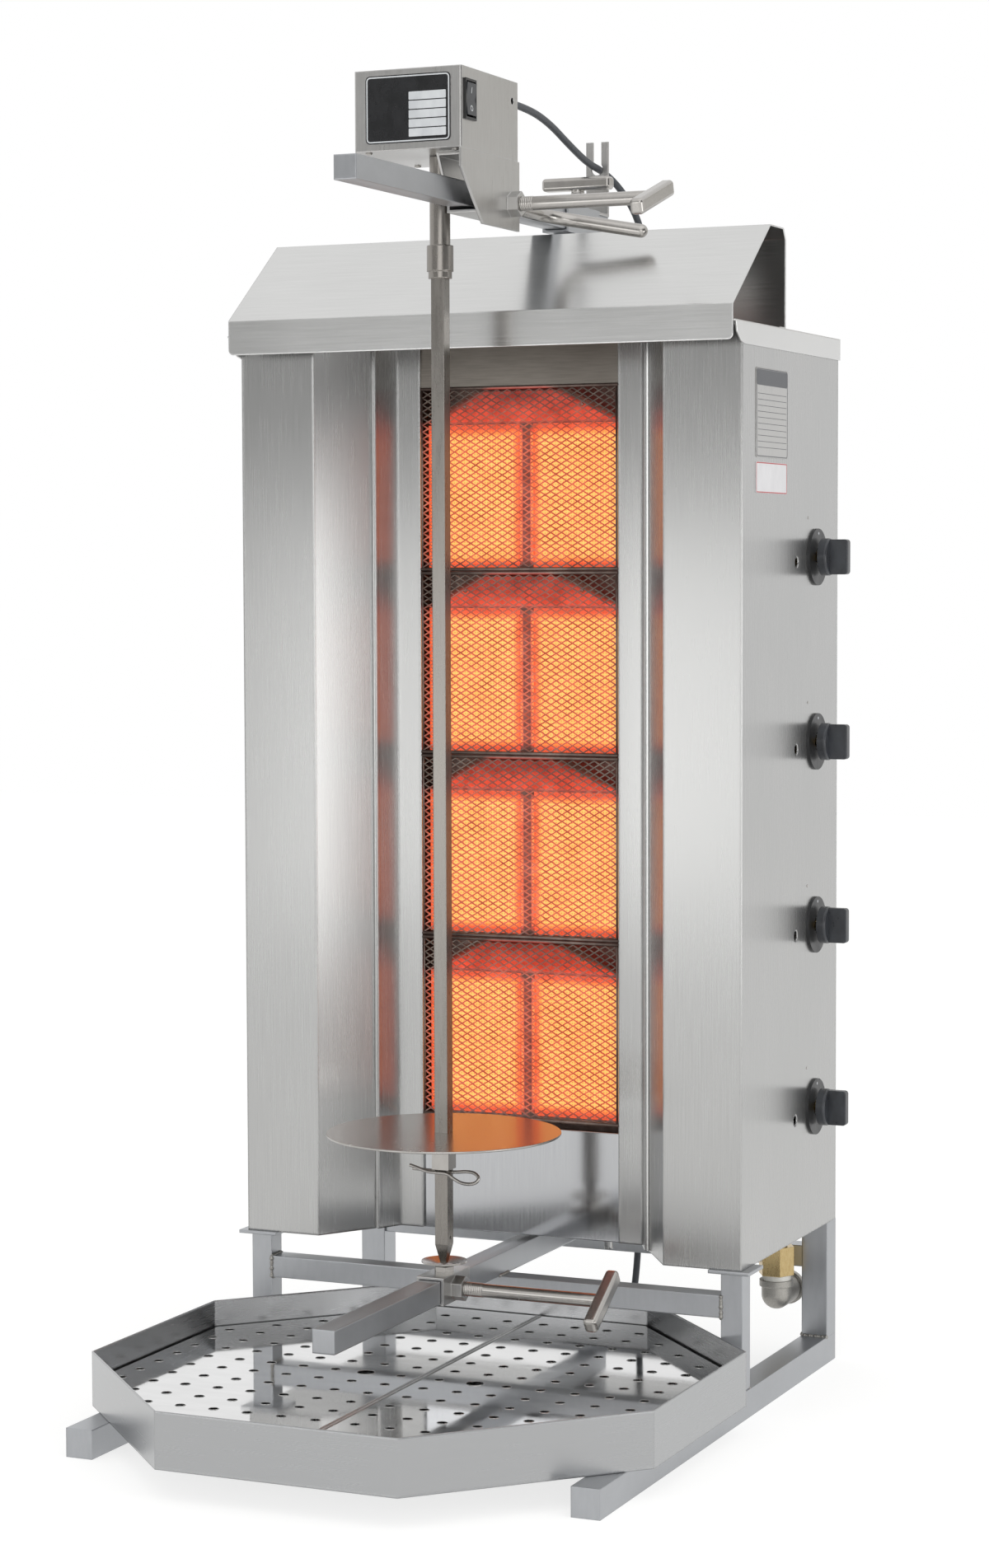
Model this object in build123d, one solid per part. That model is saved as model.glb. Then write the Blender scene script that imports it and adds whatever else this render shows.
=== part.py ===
from build123d import *
import math
import os

os.makedirs("parts", exist_ok=True)

# Gas doner kebab grill, in millimetres. X is right, Y back, Z up.
# The origin is on the floor, in the middle plane, under the front face of the body.

# Stand
runner_size = 25.0
runner_wall = 2.0
half_width = 243.0
runner_front = -329.0
runner_back = 265.0
bar_size = 20.0
bar_wall = 2.0
front_upright_outer = 242.0
front_upright_y = 6.0
rail_z = 90.0
rear_rail_y = 242.5
tab_thickness = 3.0
tab_margin = 9.0
lower_arm_front = -328.0

# Body
body_depth = 263.0
body_bottom = 134.0
body_top = 958.0
sheet = 1.2
column_inner = 170.0
wall_x = 134.0
wall_front = 56.0
carrier_y = 112.2
back_flange = 21.0
vent_rows = 8
vent_pitch_x = 130.0
vent_pitch_z = 22.0
vent_top = 760.0
vent_width = 90.0
vent_height = 6.0
strip_front = 51.0
strip_flange_end = 78.0
strip_step_x = 121.0
flange_y = 75.0
opening_half = 98.0
panel_y = 78.0
lower_panel_top = 234.0
top_panel_bottom = 913.0
carrier_half = 150.0
cover_thickness = 1.5
cover_flange = 19.5
cover_flange_front_top = -20.0
cover_flange_front_low = 2.0
notch_half = 165.0
notch_back = 60.0
peg_x = 80.0
peg_y = 95.0
peg_radius = 4.0
peg_length = 10.0

# Hood
hood_front = -25.0
fascia_bottom = 942.0
fascia_top = 973.0
slope_back = 72.0
hood_top = 1048.0
hood_back = 114.0
hood_foot = 16.0
hood_corner_run = 6.0
hood_corner_drop = 9.0
fascia_corner = 5.0

# Burners
burner_count = 4
burner_z = 814.0
burner_pitch = 168.5
burner_face = 95.0
burner_back = 145.0
burner_half = 101.6
burner_half_height = 69.0
burner_wall = 1.5
burner_gap = 0.3
burner_flange = 7.0
plaque_width = 92.0
plaque_height = 132.0
plaque_depth = 12.0
plaque_recess = 0.6
divider_half = 6.6
mixer_y = 157.0
mixer_radius = 13.0
mixer_bore = 11.5
mixer_left = -50.0
mixer_right = 150.0
brow_half_low = 96.0
brow_half_top = 50.0
brow_low = 68.0
brow_top = 95.0
brow_front = 79.0
brow_sheet = 1.0

# Mesh guards
guard_y = 76.0
guard_thickness = 0.8
guard_wire = 1.6
guard_over = 98.4
guard_under = 66.6
diamond_x = 19.0
diamond_z = 12.6
strand = 2.2

# Gas train
knob_y = 201.0
knob_z = 757.5
knob_pitch = 169.1
valve_left = 192.0
valve_half_y = 12.0
valve_back = 217.0
valve_half_z = 13.0
stem_radius = 4.0
stem_flat = 2.8
flat_lead = 5.0
stem_start = 216.0
stem_end = 261.0
stem_clearance = 0.06
stem_hole = 7.0
bezel_radius = 26.0
bezel_thickness = 2.5
bezel_bore = 9.0
knob_back = 249.5
knob_hub_radius = 17.0
knob_hub_depth = 8.5
knob_wing_depth = 25.0
knob_wing_height = 32.0
knob_wing_thickness = 9.0
knob_bore_end = 266.0
inlet_x = 198.0
inlet_y = 225.0
manifold_half = 8.0
manifold_bottom = 140.0
manifold_top = 790.0
feed_radius = 4.0
feed_x = 172.0
feed_y = 203.0
feed_end = 140.0
feed_bend = 10.0
hex_flats = 30.0
hex_bottom = 85.0
hex_top = 112.0
spigot_radius = 10.4
spigot_bottom = 62.0
spigot_hole = 11.2
ring_bottom = 80.0
ring_radius = 13.5
elbow_radius = 14.0
elbow_bead = 16.0
elbow_bead_length = 6.0
elbow_axis_z = 66.0
elbow_end = 262.0
socket_radius = 9.3
socket_depth = 22.0
elbow_passage = 7.5
sight_y = 145.5
sight_drop = 5.0
sight_radius = 4.5

# Upper arm, mast and rear clamp
arm_x = 22.0
arm_bottom = 1057.0
arm_front = -320.0
arm_back = 216.0
arm_gap = 0.3
sleeve_wall = 2.5
sleeve_front = 112.0
sleeve_back = 188.0
mast_size = 25.0
mast_wall = 2.5
mast_y = 150.5
mast_base_half = 30.0
mast_base_thickness = 4.0
screw_radius = 6.0
screw_clearance = 0.08
tip_gap = 0.05
nut_flats = 19.0
nut_height = 10.0
handle_axial = 12.0
handle_height = 14.0
handle_round = 3.5
rear_screw_y = 166.0
rear_handle_z = 1097.0
rear_handle_length = 68.0
fork_width = 22.0
fork_thickness = 2.5
fork_foot = 26.0
fork_top = 1147.0
fork_slot = 8.5
fork_eye_z = 1122.0
fork_eye_radius = 5.8

# Motor carriage
spit_y = -92.0
box_left = -54.0
box_right = 46.0
box_front = -148.0
box_back = -28.0
box_bottom = 1101.0
box_top = 1169.0
box_sheet = 1.5
box_round = 2.0
box_hole_y = -41.0
box_hole_z = 1152.0
box_hole_radius = 3.0
base_thickness = 2.0
plate_thickness = 2.5
plate_low = 1041.0
plate_low_front = -103.0
plate_back = -26.0
plate_step = 1085.0
cradle_gap = 0.2
cradle_front = -98.0
cradle_bottom = 1052.0
cradle_top_front = -120.0
carriage_screw_y = -44.0
carriage_screw_z = 1063.0
carriage_handle_x = 171.0
carriage_handle_length = 80.0
carriage_handle_tilt = 17.6
pull_radius = 6.0
pull_z = 1060.0
pull_corner_y = 38.0
pull_end = (134.0, 40.0, 1044.0)
pull_bend = 30.0
switch_y = -132.0
switch_z = 1142.0
switch_half_y = 11.0
switch_half_z = 17.0
window_half_y = 9.5
window_half_z = 15.0
switch_proud = 2.0
rocker_half_y = 9.2
rocker_half_z = 13.5
rocker_back = 41.0
rocker_edge = 49.0
rocker_dip = 47.6
pivot_x = 44.0
pivot_radius = 1.2
pivot_clearance = 0.06
cheek_thickness = 0.8
cheek_reach = 4.0
cheek_half = 5.0
shaft_radius = 5.0
shaft_clearance = 0.06
shaft_bottom = 1092.0
shaft_hole = 6.0
gear_half = 30.0
gear_front = -125.0
gear_back = -60.0
gear_top = 1138.0
motor_radius = 22.0
motor_top = 1163.0
motor_y = -88.0
gland_z = 1158.0
gland_radius = 8.0
gland_flange = 6.0
gland_length = 36.0

# Spit
tube_radius = 8.9
tube_top = 1100.5
coupling_top = 1025.0
coupling_radius = 11.5
coupling_bottom = 1003.0
collar_radius = 10.2
collar_bottom = 997.0
bar_top = 1020.0
spit_bar = 12.0
taper_top = 157.0
tip_half = 2.4
tip_bottom = 139.8
cross_hole_z = 1082.0
cross_hole_radius = 2.3
low_hole_z = 163.0
low_hole_radius = 1.5
disc_z = 254.0
disc_radius = 103.0
disc_thickness = 2.0
hub_size = 16.0
hub_bottom = 223.5
hub_clearance = 0.1
clip_z = 221.0
clip_wire = 1.5
clip_hole = 1.7
clip_left = -30.0
clip_bend_x = 31.0
clip_bend_radius = 4.3

# Lower clamp and foot dish
clamp_front = -122.0
clamp_back = -66.0
clamp_thickness = 2.5
clamp_gap = 0.3
clamp_top_gap = 0.4
clamp_bottom = 108.5
clamp_screw_y = -97.0
clamp_screw_z = 120.0
clamp_handle_x = 145.0
clamp_handle_length = 66.0
clamp_handle_tilt = 32.0
bolt_flats = 16.0
bolt_height = 4.6
dish_flat = 7.0
dish_radius = 20.0
dish_rise = 3.5
dish_wall = 1.6

# Drip tray
tray_gap = 0.2
tray_half = 260.5
tray_front = -416.0
tray_back = 124.0
tray_edge_half = 108.0
tray_side_front = -256.0
tray_side_back = -36.0
tray_top = 73.0
tray_wall = 1.2
plate_top = 49.0
plate_sheet = 1.5
plate_inset = 3.0
seam_half = 0.4
hole_radius = 3.9
hole_first_x = 18.2
hole_pitch_x = 31.65
hole_pitch_y = 32.9
finger_x = 52.0
finger_y = -143.0
finger_radius = 7.5
leg_rows = (-356.5, -159.0, 71.5)
leg_inner = 28.0
leg_length = 60.0

# Mains lead
cord_radius = 3.3
coil_radius = 44.0
coil_pitch = 7.3
coil_turns = 2.0
coil_layer = 7.3
coil_y = 178.0
cord_floor = 3.4
plug_radius = 18.5
plug_body = 36.0
plug_relief = 30.0
plug_pin_radius = 2.4
plug_pin_length = 19.0
plug_pin_half = 9.5
relief_tip = 3.9


def block(x0, x1, y0, y1, z0, z1):
    return Pos((x0 + x1) / 2, (y0 + y1) / 2, (z0 + z1) / 2) * Box(x1 - x0, y1 - y0, z1 - z0)


def slab_z(points, z0, z1):
    face = Face(Wire.make_polygon([(x, y, z0) for x, y in points], close=True))
    return extrude(face, amount=z1 - z0, dir=(0, 0, 1))


def slab_x(points, x0, x1):
    face = Face(Wire.make_polygon([(x0, y, z) for y, z in points], close=True))
    return extrude(face, amount=x1 - x0, dir=(1, 0, 0))


def slab_y(points, y0, y1):
    face = Face(Wire.make_polygon([(x, y0, z) for x, z in points], close=True))
    return extrude(face, amount=y1 - y0, dir=(0, 1, 0))


def rod(start, direction, radius, length):
    plane = Plane(origin=start, z_dir=direction)
    return extrude(plane * Circle(radius), amount=length)


def hex_bar(start, direction, flats, length):
    plane = Plane(origin=start, z_dir=direction)
    return extrude(plane * RegularPolygon(flats / 2, 6, major_radius=False), amount=length)


def right_offset(points, distance):
    # Points moved to the right of the way along an open line, with mitred corners.
    normals = []
    for a, b in zip(points, points[1:]):
        length = math.dist(a, b)
        normals.append(((b[1] - a[1]) / length, (a[0] - b[0]) / length))
    moved = []
    for i, point in enumerate(points):
        before = normals[max(i - 1, 0)]
        after = normals[min(i, len(normals) - 1)]
        share = distance / (1 + before[0] * after[0] + before[1] * after[1])
        moved.append((point[0] + share * (before[0] + after[0]), point[1] + share * (before[1] + after[1])))
    return moved


def bent_sheet(points, thickness):
    return list(points) + right_offset(points, thickness)[::-1]


def flipped(points):
    return [(-x, y) for x, y in points]


def both_sides(shape):
    return shape + mirror(shape, about=Plane.YZ)


def t_screw(tip, axis, along, length, handle_length):
    # Threaded rod with a rounded cross bar at its far end.
    plane = Plane(origin=tip, x_dir=along, z_dir=axis)
    shank = extrude(plane * Circle(screw_radius), amount=length + handle_axial / 2)
    handle = Box(handle_length, handle_height, handle_axial)
    handle = fillet(handle.edges(), handle_round)
    return shank + plane * (Pos(0, 0, length + handle_axial / 2) * handle)


# Stand
runner_inner = half_width - runner_size
back_inner = half_width - runner_size
arm_low_top = rail_z + 2 * bar_size
front_inner = front_upright_outer - bar_size


def make_runners():
    right = block(runner_inner, half_width, runner_front, runner_back, 0, runner_size)
    right -= block(runner_inner + runner_wall, half_width - runner_wall, runner_front + runner_wall,
                   runner_back, runner_wall, runner_size - runner_wall)
    return both_sides(right)


def make_front_uprights():
    top = body_bottom - tab_thickness
    y1 = front_upright_y + bar_size
    post = block(front_inner, front_upright_outer, front_upright_y, y1, runner_size, top)
    post -= block(front_inner + bar_wall, front_upright_outer - bar_wall, front_upright_y + bar_wall,
                  y1 - bar_wall, runner_size, top)
    tab = block(front_inner - tab_margin, front_upright_outer + tab_margin, front_upright_y - tab_margin,
                y1 + tab_margin, top, body_bottom)
    return both_sides(post + tab)


def make_rear_uprights():
    y0 = runner_back - runner_size
    post = block(back_inner, half_width, y0, runner_back, runner_size, body_bottom)
    post -= block(back_inner + runner_wall, half_width - runner_wall, y0 + runner_wall,
                  runner_back - runner_wall, runner_size, body_bottom)
    return both_sides(post)


def make_rail(half, y0):
    rail = block(-half, half, y0, y0 + bar_size, rail_z, rail_z + bar_size)
    return rail - block(-half, half, y0 + bar_wall, y0 + bar_size - bar_wall,
                        rail_z + bar_wall, rail_z + bar_size - bar_wall)


def make_arm(x, front, back, z0):
    half = bar_size / 2
    arm = block(x - half, x + half, front, back, z0, z0 + bar_size)
    return arm - block(x - half + bar_wall, x + half - bar_wall, front + bar_wall, back,
                       z0 + bar_wall, z0 + bar_size - bar_wall)


# Body
column_path = [(half_width - back_flange, body_depth), (half_width, body_depth), (half_width, 0),
               (column_inner, 0), (wall_x, wall_front), (wall_x, carrier_y)]
burner_rows = [burner_z - i * burner_pitch for i in range(burner_count)]
knob_rows = [knob_z - i * knob_pitch for i in range(burner_count)]


def make_column_right():
    column = slab_z(bent_sheet(column_path, sheet), body_bottom, body_top)
    for z in knob_rows:
        column -= rod((half_width - 5, knob_y, z), (1, 0, 0), stem_hole, 10)
        column -= rod((half_width - 5, sight_y, z - sight_drop), (1, 0, 0), sight_radius, 10)
    return column


def make_column_left():
    return slab_z(flipped(bent_sheet(column_path, sheet)), body_bottom, body_top)


def make_strips():
    path = [(wall_x - 1, strip_front), (strip_step_x, flange_y), (opening_half, flange_y),
            (opening_half, panel_y)]
    strip = slab_z(bent_sheet(path, sheet), body_bottom, body_top)
    strip += block(wall_x - sheet, wall_x, strip_front, strip_flange_end, body_bottom, body_top)
    return both_sides(strip)


def make_inner_panel(z0, z1, ledge_z):
    half = wall_x - sheet
    panel = block(-half, half, panel_y, panel_y + sheet, z0, z1)
    return panel + block(-half, half, panel_y, carrier_y, ledge_z, ledge_z + sheet)


def make_burner_panel():
    panel = block(-carrier_half, carrier_half, carrier_y, carrier_y + sheet,
                  lower_panel_top - sheet, top_panel_bottom + sheet)
    half = burner_half + burner_gap
    height = burner_half_height + burner_gap
    for z in burner_rows:
        panel -= block(-half, half, carrier_y - 1, carrier_y + 5, z - height, z + height)
    return panel


def make_back_panel():
    panel = block(-half_width, half_width, body_depth, body_depth + sheet, body_bottom, body_top)
    for row in range(vent_rows):
        for column in (-1, 0, 1):
            panel -= Pos(column * vent_pitch_x, body_depth, vent_top - row * vent_pitch_z) * Box(
                vent_width, 10, vent_height)
    return panel


def make_floor():
    right = right_offset(column_path, sheet)
    edge = [(half_width - sheet, body_depth - sheet)] + right[2:5] + [(wall_x + sheet, carrier_y),
            (wall_x, carrier_y), (wall_x, panel_y + sheet)]
    floor = slab_z(edge + flipped(edge)[::-1], body_bottom, body_bottom + sheet)
    floor -= rod((inlet_x, inlet_y, body_bottom - 1), (0, 0, 1), spigot_hole, 5)
    return floor + rod((peg_x, peg_y, body_bottom - peg_length), (0, 0, 1), peg_radius, peg_length)


def make_top_cover():
    side = half_width + cover_thickness
    back = body_depth + sheet + cover_thickness
    front = hood_front + sheet
    top = body_top + cover_thickness
    low = top - cover_flange
    outline = [(-side, front), (-notch_half, front), (-notch_half, notch_back), (notch_half, notch_back),
               (notch_half, front), (side, front), (side, back), (-side, back)]
    cover = slab_z(outline, body_top, top)
    flange = [(cover_flange_front_top, body_top), (cover_flange_front_top + 3, low + 9),
              (cover_flange_front_low - 9, low + 2), (cover_flange_front_low, low), (back, low),
              (back, body_top)]
    cover += both_sides(slab_x(flange, half_width, side))
    return cover + block(-half_width, half_width, back - cover_thickness, back, low, body_top)


def make_hood():
    foot_z = body_top + cover_thickness
    path = [(hood_front, fascia_bottom), (hood_front, fascia_top), (slope_back, hood_top),
            (hood_back - hood_corner_run, hood_top), (hood_back, hood_top - hood_corner_drop),
            (hood_back, foot_z), (hood_back - hood_foot, foot_z)]
    hood = slab_x(bent_sheet(path, sheet), -half_width, half_width)
    corners = [edge for edge in hood.edges().filter_by(Axis.Y)
               if abs(edge.center().Z - fascia_bottom) < 0.01]
    return fillet(corners, fascia_corner)


# Burners
def make_burner(z):
    shell = block(-burner_half, burner_half, burner_face, burner_back, z - burner_half_height,
                  z + burner_half_height)
    wall = burner_wall
    shell -= block(-burner_half + wall, burner_half - wall, burner_face + wall, burner_back - wall,
                   z - burner_half_height + wall, z + burner_half_height - wall)
    for x0 in (divider_half, -divider_half - plaque_width):
        shell -= block(x0, x0 + plaque_width, burner_face - 1, burner_face + 2 * wall,
                       z - plaque_height / 2, z + plaque_height / 2)
    y0 = carrier_y + sheet
    reach = burner_half_height + burner_flange
    flange = block(-burner_half - burner_flange, burner_half + burner_flange, y0, y0 + wall,
                   z - reach, z + reach)
    flange -= block(-burner_half + wall, burner_half - wall, y0, y0 + wall,
                    z - burner_half_height + wall, z + burner_half_height - wall)
    mixer = rod((mixer_left, mixer_y, z), (1, 0, 0), mixer_radius, mixer_right - mixer_left)
    mixer -= rod((mixer_right - 80, mixer_y, z), (1, 0, 0), mixer_bore, 80)
    # Sheet above the plaques that leans forward and throws their heat back.
    low = [(side * brow_half_low, burner_face + 0.5, z + brow_low) for side in (-1, 1)]
    top = [(side * brow_half_top, brow_front, z + brow_top) for side in (1, -1)]
    brow = extrude(Face(Wire.make_polygon(low + top, close=True)), amount=brow_sheet, dir=(0, 1, 0))
    return shell + flange + mixer + brow


def make_plaques():
    y0 = burner_face + plaque_recess
    plaques = Part()
    for z in burner_rows:
        for x0 in (divider_half, -divider_half - plaque_width):
            plaques += block(x0, x0 + plaque_width, y0, y0 + plaque_depth, z - plaque_height / 2,
                             z + plaque_height / 2)
    return plaques


def make_guard(z):
    low = z - guard_under
    high = z + guard_over
    plane = Plane(origin=(0, guard_y + guard_thickness / 2, (low + high) / 2), x_dir=(1, 0, 0),
                  z_dir=(0, -1, 0))
    net = Rectangle(2 * opening_half - 1, high - low)
    half_x = diamond_x / 2 - strand
    half_z = diamond_z / 2 - strand / 2
    hole = make_face(Polyline((half_x, 0), (0, half_z), (-half_x, 0), (0, -half_z), close=True).edges())
    rows = int((high - low - 2 * half_z - 4) / (diamond_z / 2))
    places = []
    for row in range(rows + 1):
        shift = diamond_x / 2 * (row % 2)
        height = (row - rows / 2) * diamond_z / 2
        for step in range(-5, 6):
            x = step * diamond_x + shift
            if abs(x) + half_x < opening_half - 1.5:
                places.append((x, height))
    holes = [Pos(x, height) * hole for x, height in places]
    net = extrude(plane * (net - holes), amount=guard_thickness)
    for height in (low, high):
        net += rod((-opening_half, guard_y, height), (1, 0, 0), guard_wire, 2 * opening_half)
    return net, len(places)


def make_guards():
    guards = Part()
    for z in burner_rows:
        guard, gaps = make_guard(z)
        guards += guard
    print("gaps in a mesh guard", gaps)
    return guards


# Gas train
def make_valves():
    valves = Part()
    for z in knob_rows:
        body = block(valve_left, half_width - sheet, knob_y - valve_half_y, valve_back,
                     z - valve_half_z, z + valve_half_z)
        body -= rod((stem_start - 1, knob_y, z), (1, 0, 0), stem_radius + stem_clearance, 40)
        valves += body
    return valves


def make_stem(z):
    stem = rod((stem_start, knob_y, z), (1, 0, 0), stem_radius, stem_end - stem_start)
    return stem - block(knob_back - flat_lead, stem_end, knob_y - 6, knob_y + 6, z + stem_flat, z + 6)


def make_knob(z):
    hub = rod((knob_back, knob_y, z), (1, 0, 0), knob_hub_radius, knob_hub_depth)
    hub = fillet(hub.edges().sort_by(Axis.X)[-1], 2.5)
    wing = Pos(knob_back + knob_wing_depth / 2, knob_y, z) * Box(
        knob_wing_depth, knob_wing_thickness, knob_wing_height)
    wing = fillet(wing.edges().filter_by(Axis.Y), 3)
    wing = fillet(wing.edges().group_by(Axis.X)[-1], 1)
    bore = rod((knob_back - 1, knob_y, z), (1, 0, 0), stem_radius + stem_clearance,
               knob_bore_end - knob_back + 1)
    bore -= block(knob_back - 2, knob_bore_end + 1, knob_y - 6, knob_y + 6,
                  z + stem_flat + stem_clearance, z + 6)
    return hub + wing - bore


def make_bezels():
    bezels = Part()
    for z in knob_rows:
        ring = rod((half_width, knob_y, z), (1, 0, 0), bezel_radius, bezel_thickness)
        bezels += ring - rod((half_width, knob_y, z), (1, 0, 0), bezel_bore, bezel_thickness)
    return bezels


def make_manifold():
    gas = block(inlet_x - manifold_half, inlet_x + manifold_half, inlet_y - manifold_half,
                inlet_y + manifold_half, manifold_bottom, manifold_top)
    for z_knob, z_burner in zip(knob_rows, burner_rows):
        path = FilletPolyline((valve_left, feed_y, z_knob), (feed_x, feed_y, z_knob),
                              (feed_x, feed_y, z_burner), (feed_x, mixer_y, z_burner),
                              (feed_end, mixer_y, z_burner), radius=feed_bend)
        section = Plane(origin=path @ 0, z_dir=path % 0) * Circle(feed_radius)
        gas += sweep(section, path=path)
    return gas


def make_adaptor():
    adaptor = hex_bar((inlet_x, inlet_y, hex_bottom), (0, 0, 1), hex_flats, hex_top - hex_bottom)
    return adaptor + rod((inlet_x, inlet_y, spigot_bottom), (0, 0, 1), spigot_radius,
                         manifold_bottom - spigot_bottom)


def make_seal():
    height = hex_bottom - ring_bottom
    ring = rod((inlet_x, inlet_y, ring_bottom), (0, 0, 1), ring_radius, height)
    return ring - rod((inlet_x, inlet_y, ring_bottom), (0, 0, 1), spigot_radius, height)


def make_elbow():
    corner = (inlet_x, inlet_y, elbow_axis_z)
    body = Pos(*corner) * Sphere(elbow_radius)
    body += rod(corner, (0, 0, 1), elbow_radius, ring_bottom - elbow_axis_z)
    body += rod(corner, (0, 1, 0), elbow_radius, elbow_end - inlet_y)
    body += rod((inlet_x, inlet_y, ring_bottom - elbow_bead_length), (0, 0, 1), elbow_bead,
                elbow_bead_length)
    body += rod((inlet_x, elbow_end - elbow_bead_length, elbow_axis_z), (0, 1, 0), elbow_bead,
                elbow_bead_length)
    body -= rod((inlet_x, inlet_y, spigot_bottom), (0, 0, 1), spigot_radius, 30)
    body -= rod((inlet_x, inlet_y + spigot_radius + 1, elbow_axis_z), (0, 1, 0), elbow_passage, 30)
    return body - rod((inlet_x, elbow_end - socket_depth, elbow_axis_z), (0, 1, 0), socket_radius, 30)


# Upper arm, mast and rear clamp
arm_top = arm_bottom + bar_size
arm_left = arm_x - bar_size / 2
arm_right = arm_x + bar_size / 2
sleeve_bottom = arm_bottom - arm_gap - sleeve_wall
sleeve_top = arm_top + arm_gap + sleeve_wall


def make_sleeve():
    reach = arm_gap + sleeve_wall
    sleeve = block(arm_left - reach, arm_right + reach, sleeve_front, sleeve_back, sleeve_bottom, sleeve_top)
    sleeve -= block(arm_left - arm_gap, arm_right + arm_gap, sleeve_front, sleeve_back,
                    arm_bottom - arm_gap, arm_top + arm_gap)
    sleeve += hex_bar((arm_x, rear_screw_y, sleeve_top), (0, 0, 1), nut_flats, nut_height)
    return sleeve - rod((arm_x, rear_screw_y, arm_top + arm_gap), (0, 0, 1),
                        screw_radius + screw_clearance, 30)


def make_mast():
    half = mast_size / 2
    floor_z = body_top + cover_thickness
    base = block(arm_x - mast_base_half, arm_x + mast_base_half, mast_y - mast_base_half,
                 mast_y + mast_base_half, floor_z, floor_z + mast_base_thickness)
    post = block(arm_x - half, arm_x + half, mast_y - half, mast_y + half, floor_z, sleeve_bottom)
    inner = half - mast_wall
    hollow = block(arm_x - inner, arm_x + inner, mast_y - inner, mast_y + inner,
                   floor_z + mast_base_thickness, sleeve_bottom)
    return base + post - hollow


def make_rear_screw():
    tip = arm_top + tip_gap
    return t_screw((arm_x, rear_screw_y, tip), (0, 0, 1), (1, 0, 0), rear_handle_z - tip,
                   rear_handle_length)


def make_fork():
    half = fork_width / 2
    y0 = arm_back - fork_thickness
    fork = block(arm_x - half, arm_x + half, y0, arm_back, arm_top, fork_top)
    fork += block(arm_x - half, arm_x + half, arm_back - fork_foot, arm_back, arm_top,
                  arm_top + fork_thickness)
    fork -= block(arm_x - fork_slot / 2, arm_x + fork_slot / 2, y0 - 1, arm_back + 1, fork_eye_z,
                  fork_top + 1)
    return fork - rod((arm_x, y0 - 1, fork_eye_z), (0, 1, 0), fork_eye_radius, fork_thickness + 2)


# Motor carriage
def make_carriage():
    inner = box_right - plate_thickness
    right = [(box_front, box_bottom), (box_front, plate_step), (plate_low_front, plate_low),
             (plate_back, plate_low), (plate_back, box_bottom)]
    carriage = slab_x(right, inner, box_right)
    left_face = arm_left - cradle_gap
    left = [(cradle_top_front, box_bottom), (cradle_front, cradle_bottom + 12),
            (cradle_front, cradle_bottom), (plate_back, cradle_bottom), (plate_back, box_bottom)]
    carriage += slab_x(left, left_face - plate_thickness, left_face)
    carriage += block(left_face, inner, cradle_front, plate_back, cradle_bottom,
                      cradle_bottom + plate_thickness)
    carriage += block(left_face, inner, cradle_top_front, plate_back, box_bottom - plate_thickness,
                      box_bottom)
    nut = hex_bar((box_right, carriage_screw_y, carriage_screw_z), (1, 0, 0), nut_flats, nut_height)
    carriage += nut
    return carriage - rod((inner - 1, carriage_screw_y, carriage_screw_z), (1, 0, 0),
                          screw_radius + screw_clearance, 40)


def make_carriage_screw():
    tip = arm_right + tip_gap
    tilt = math.radians(carriage_handle_tilt)
    return t_screw((tip, carriage_screw_y, carriage_screw_z), (1, 0, 0),
                   (0, math.cos(tilt), math.sin(tilt)), carriage_handle_x - tip, carriage_handle_length)


def make_pull_rod():
    path = FilletPolyline((box_right, plate_back, pull_z), (box_right, pull_corner_y, pull_z), pull_end,
                          radius=pull_bend)
    section = Plane(origin=path @ 0, z_dir=path % 0) * Circle(pull_radius)
    return sweep(section, path=path) + Pos(*pull_end) * Sphere(pull_radius)


def switch_window(x0, x1, half_y):
    return block(x0, x1, switch_y - half_y, switch_y + half_y, switch_z - window_half_z,
                 switch_z + window_half_z)


def make_housing():
    s = box_sheet
    shell = block(box_left, box_right, box_front, box_back, box_bottom, box_top)
    shell = fillet(shell.edges().filter_by(Axis.Z), box_round)
    shell -= block(box_left + s, box_right - s, box_front + s, box_back - s, box_bottom, box_top - s)
    shell -= rod((box_right - 5, box_hole_y, box_hole_z), (1, 0, 0), box_hole_radius, 10)
    return shell - switch_window(box_right - 5, box_right + 5, window_half_y + cheek_thickness + 0.1)


def make_base():
    s = box_sheet
    base = block(box_left + s, box_right - s, box_front + s, box_back - s, box_bottom,
                 box_bottom + base_thickness)
    return base - rod((0, spit_y, box_bottom - 1), (0, 0, 1), shaft_hole, 5)


def make_gear_motor():
    z0 = box_bottom + base_thickness
    gear = block(-gear_half, gear_half, gear_front, gear_back, z0, gear_top)
    gear += rod((0, motor_y, gear_top), (0, 0, 1), motor_radius, motor_top - gear_top)
    return gear + rod((0, spit_y, shaft_bottom), (0, 0, 1), shaft_radius, z0 - shaft_bottom)


def make_switch_frame():
    frame = block(box_right, box_right + switch_proud, switch_y - switch_half_y, switch_y + switch_half_y,
                  switch_z - switch_half_z, switch_z + switch_half_z)
    frame -= switch_window(box_right - 1, box_right + 5, window_half_y)
    # Pivot pin of the rocker, held by a cheek on each side that goes in through the box wall.
    for side in (-1, 1):
        middle = switch_y + side * (window_half_y + cheek_thickness / 2)
        frame += block(pivot_x - cheek_reach, box_right + switch_proud / 2, middle - cheek_thickness / 2,
                       middle + cheek_thickness / 2, switch_z - cheek_half, switch_z + cheek_half)
    half = window_half_y + cheek_thickness / 2
    return frame + rod((pivot_x, switch_y - half, switch_z), (0, 1, 0), pivot_radius, 2 * half)


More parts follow.
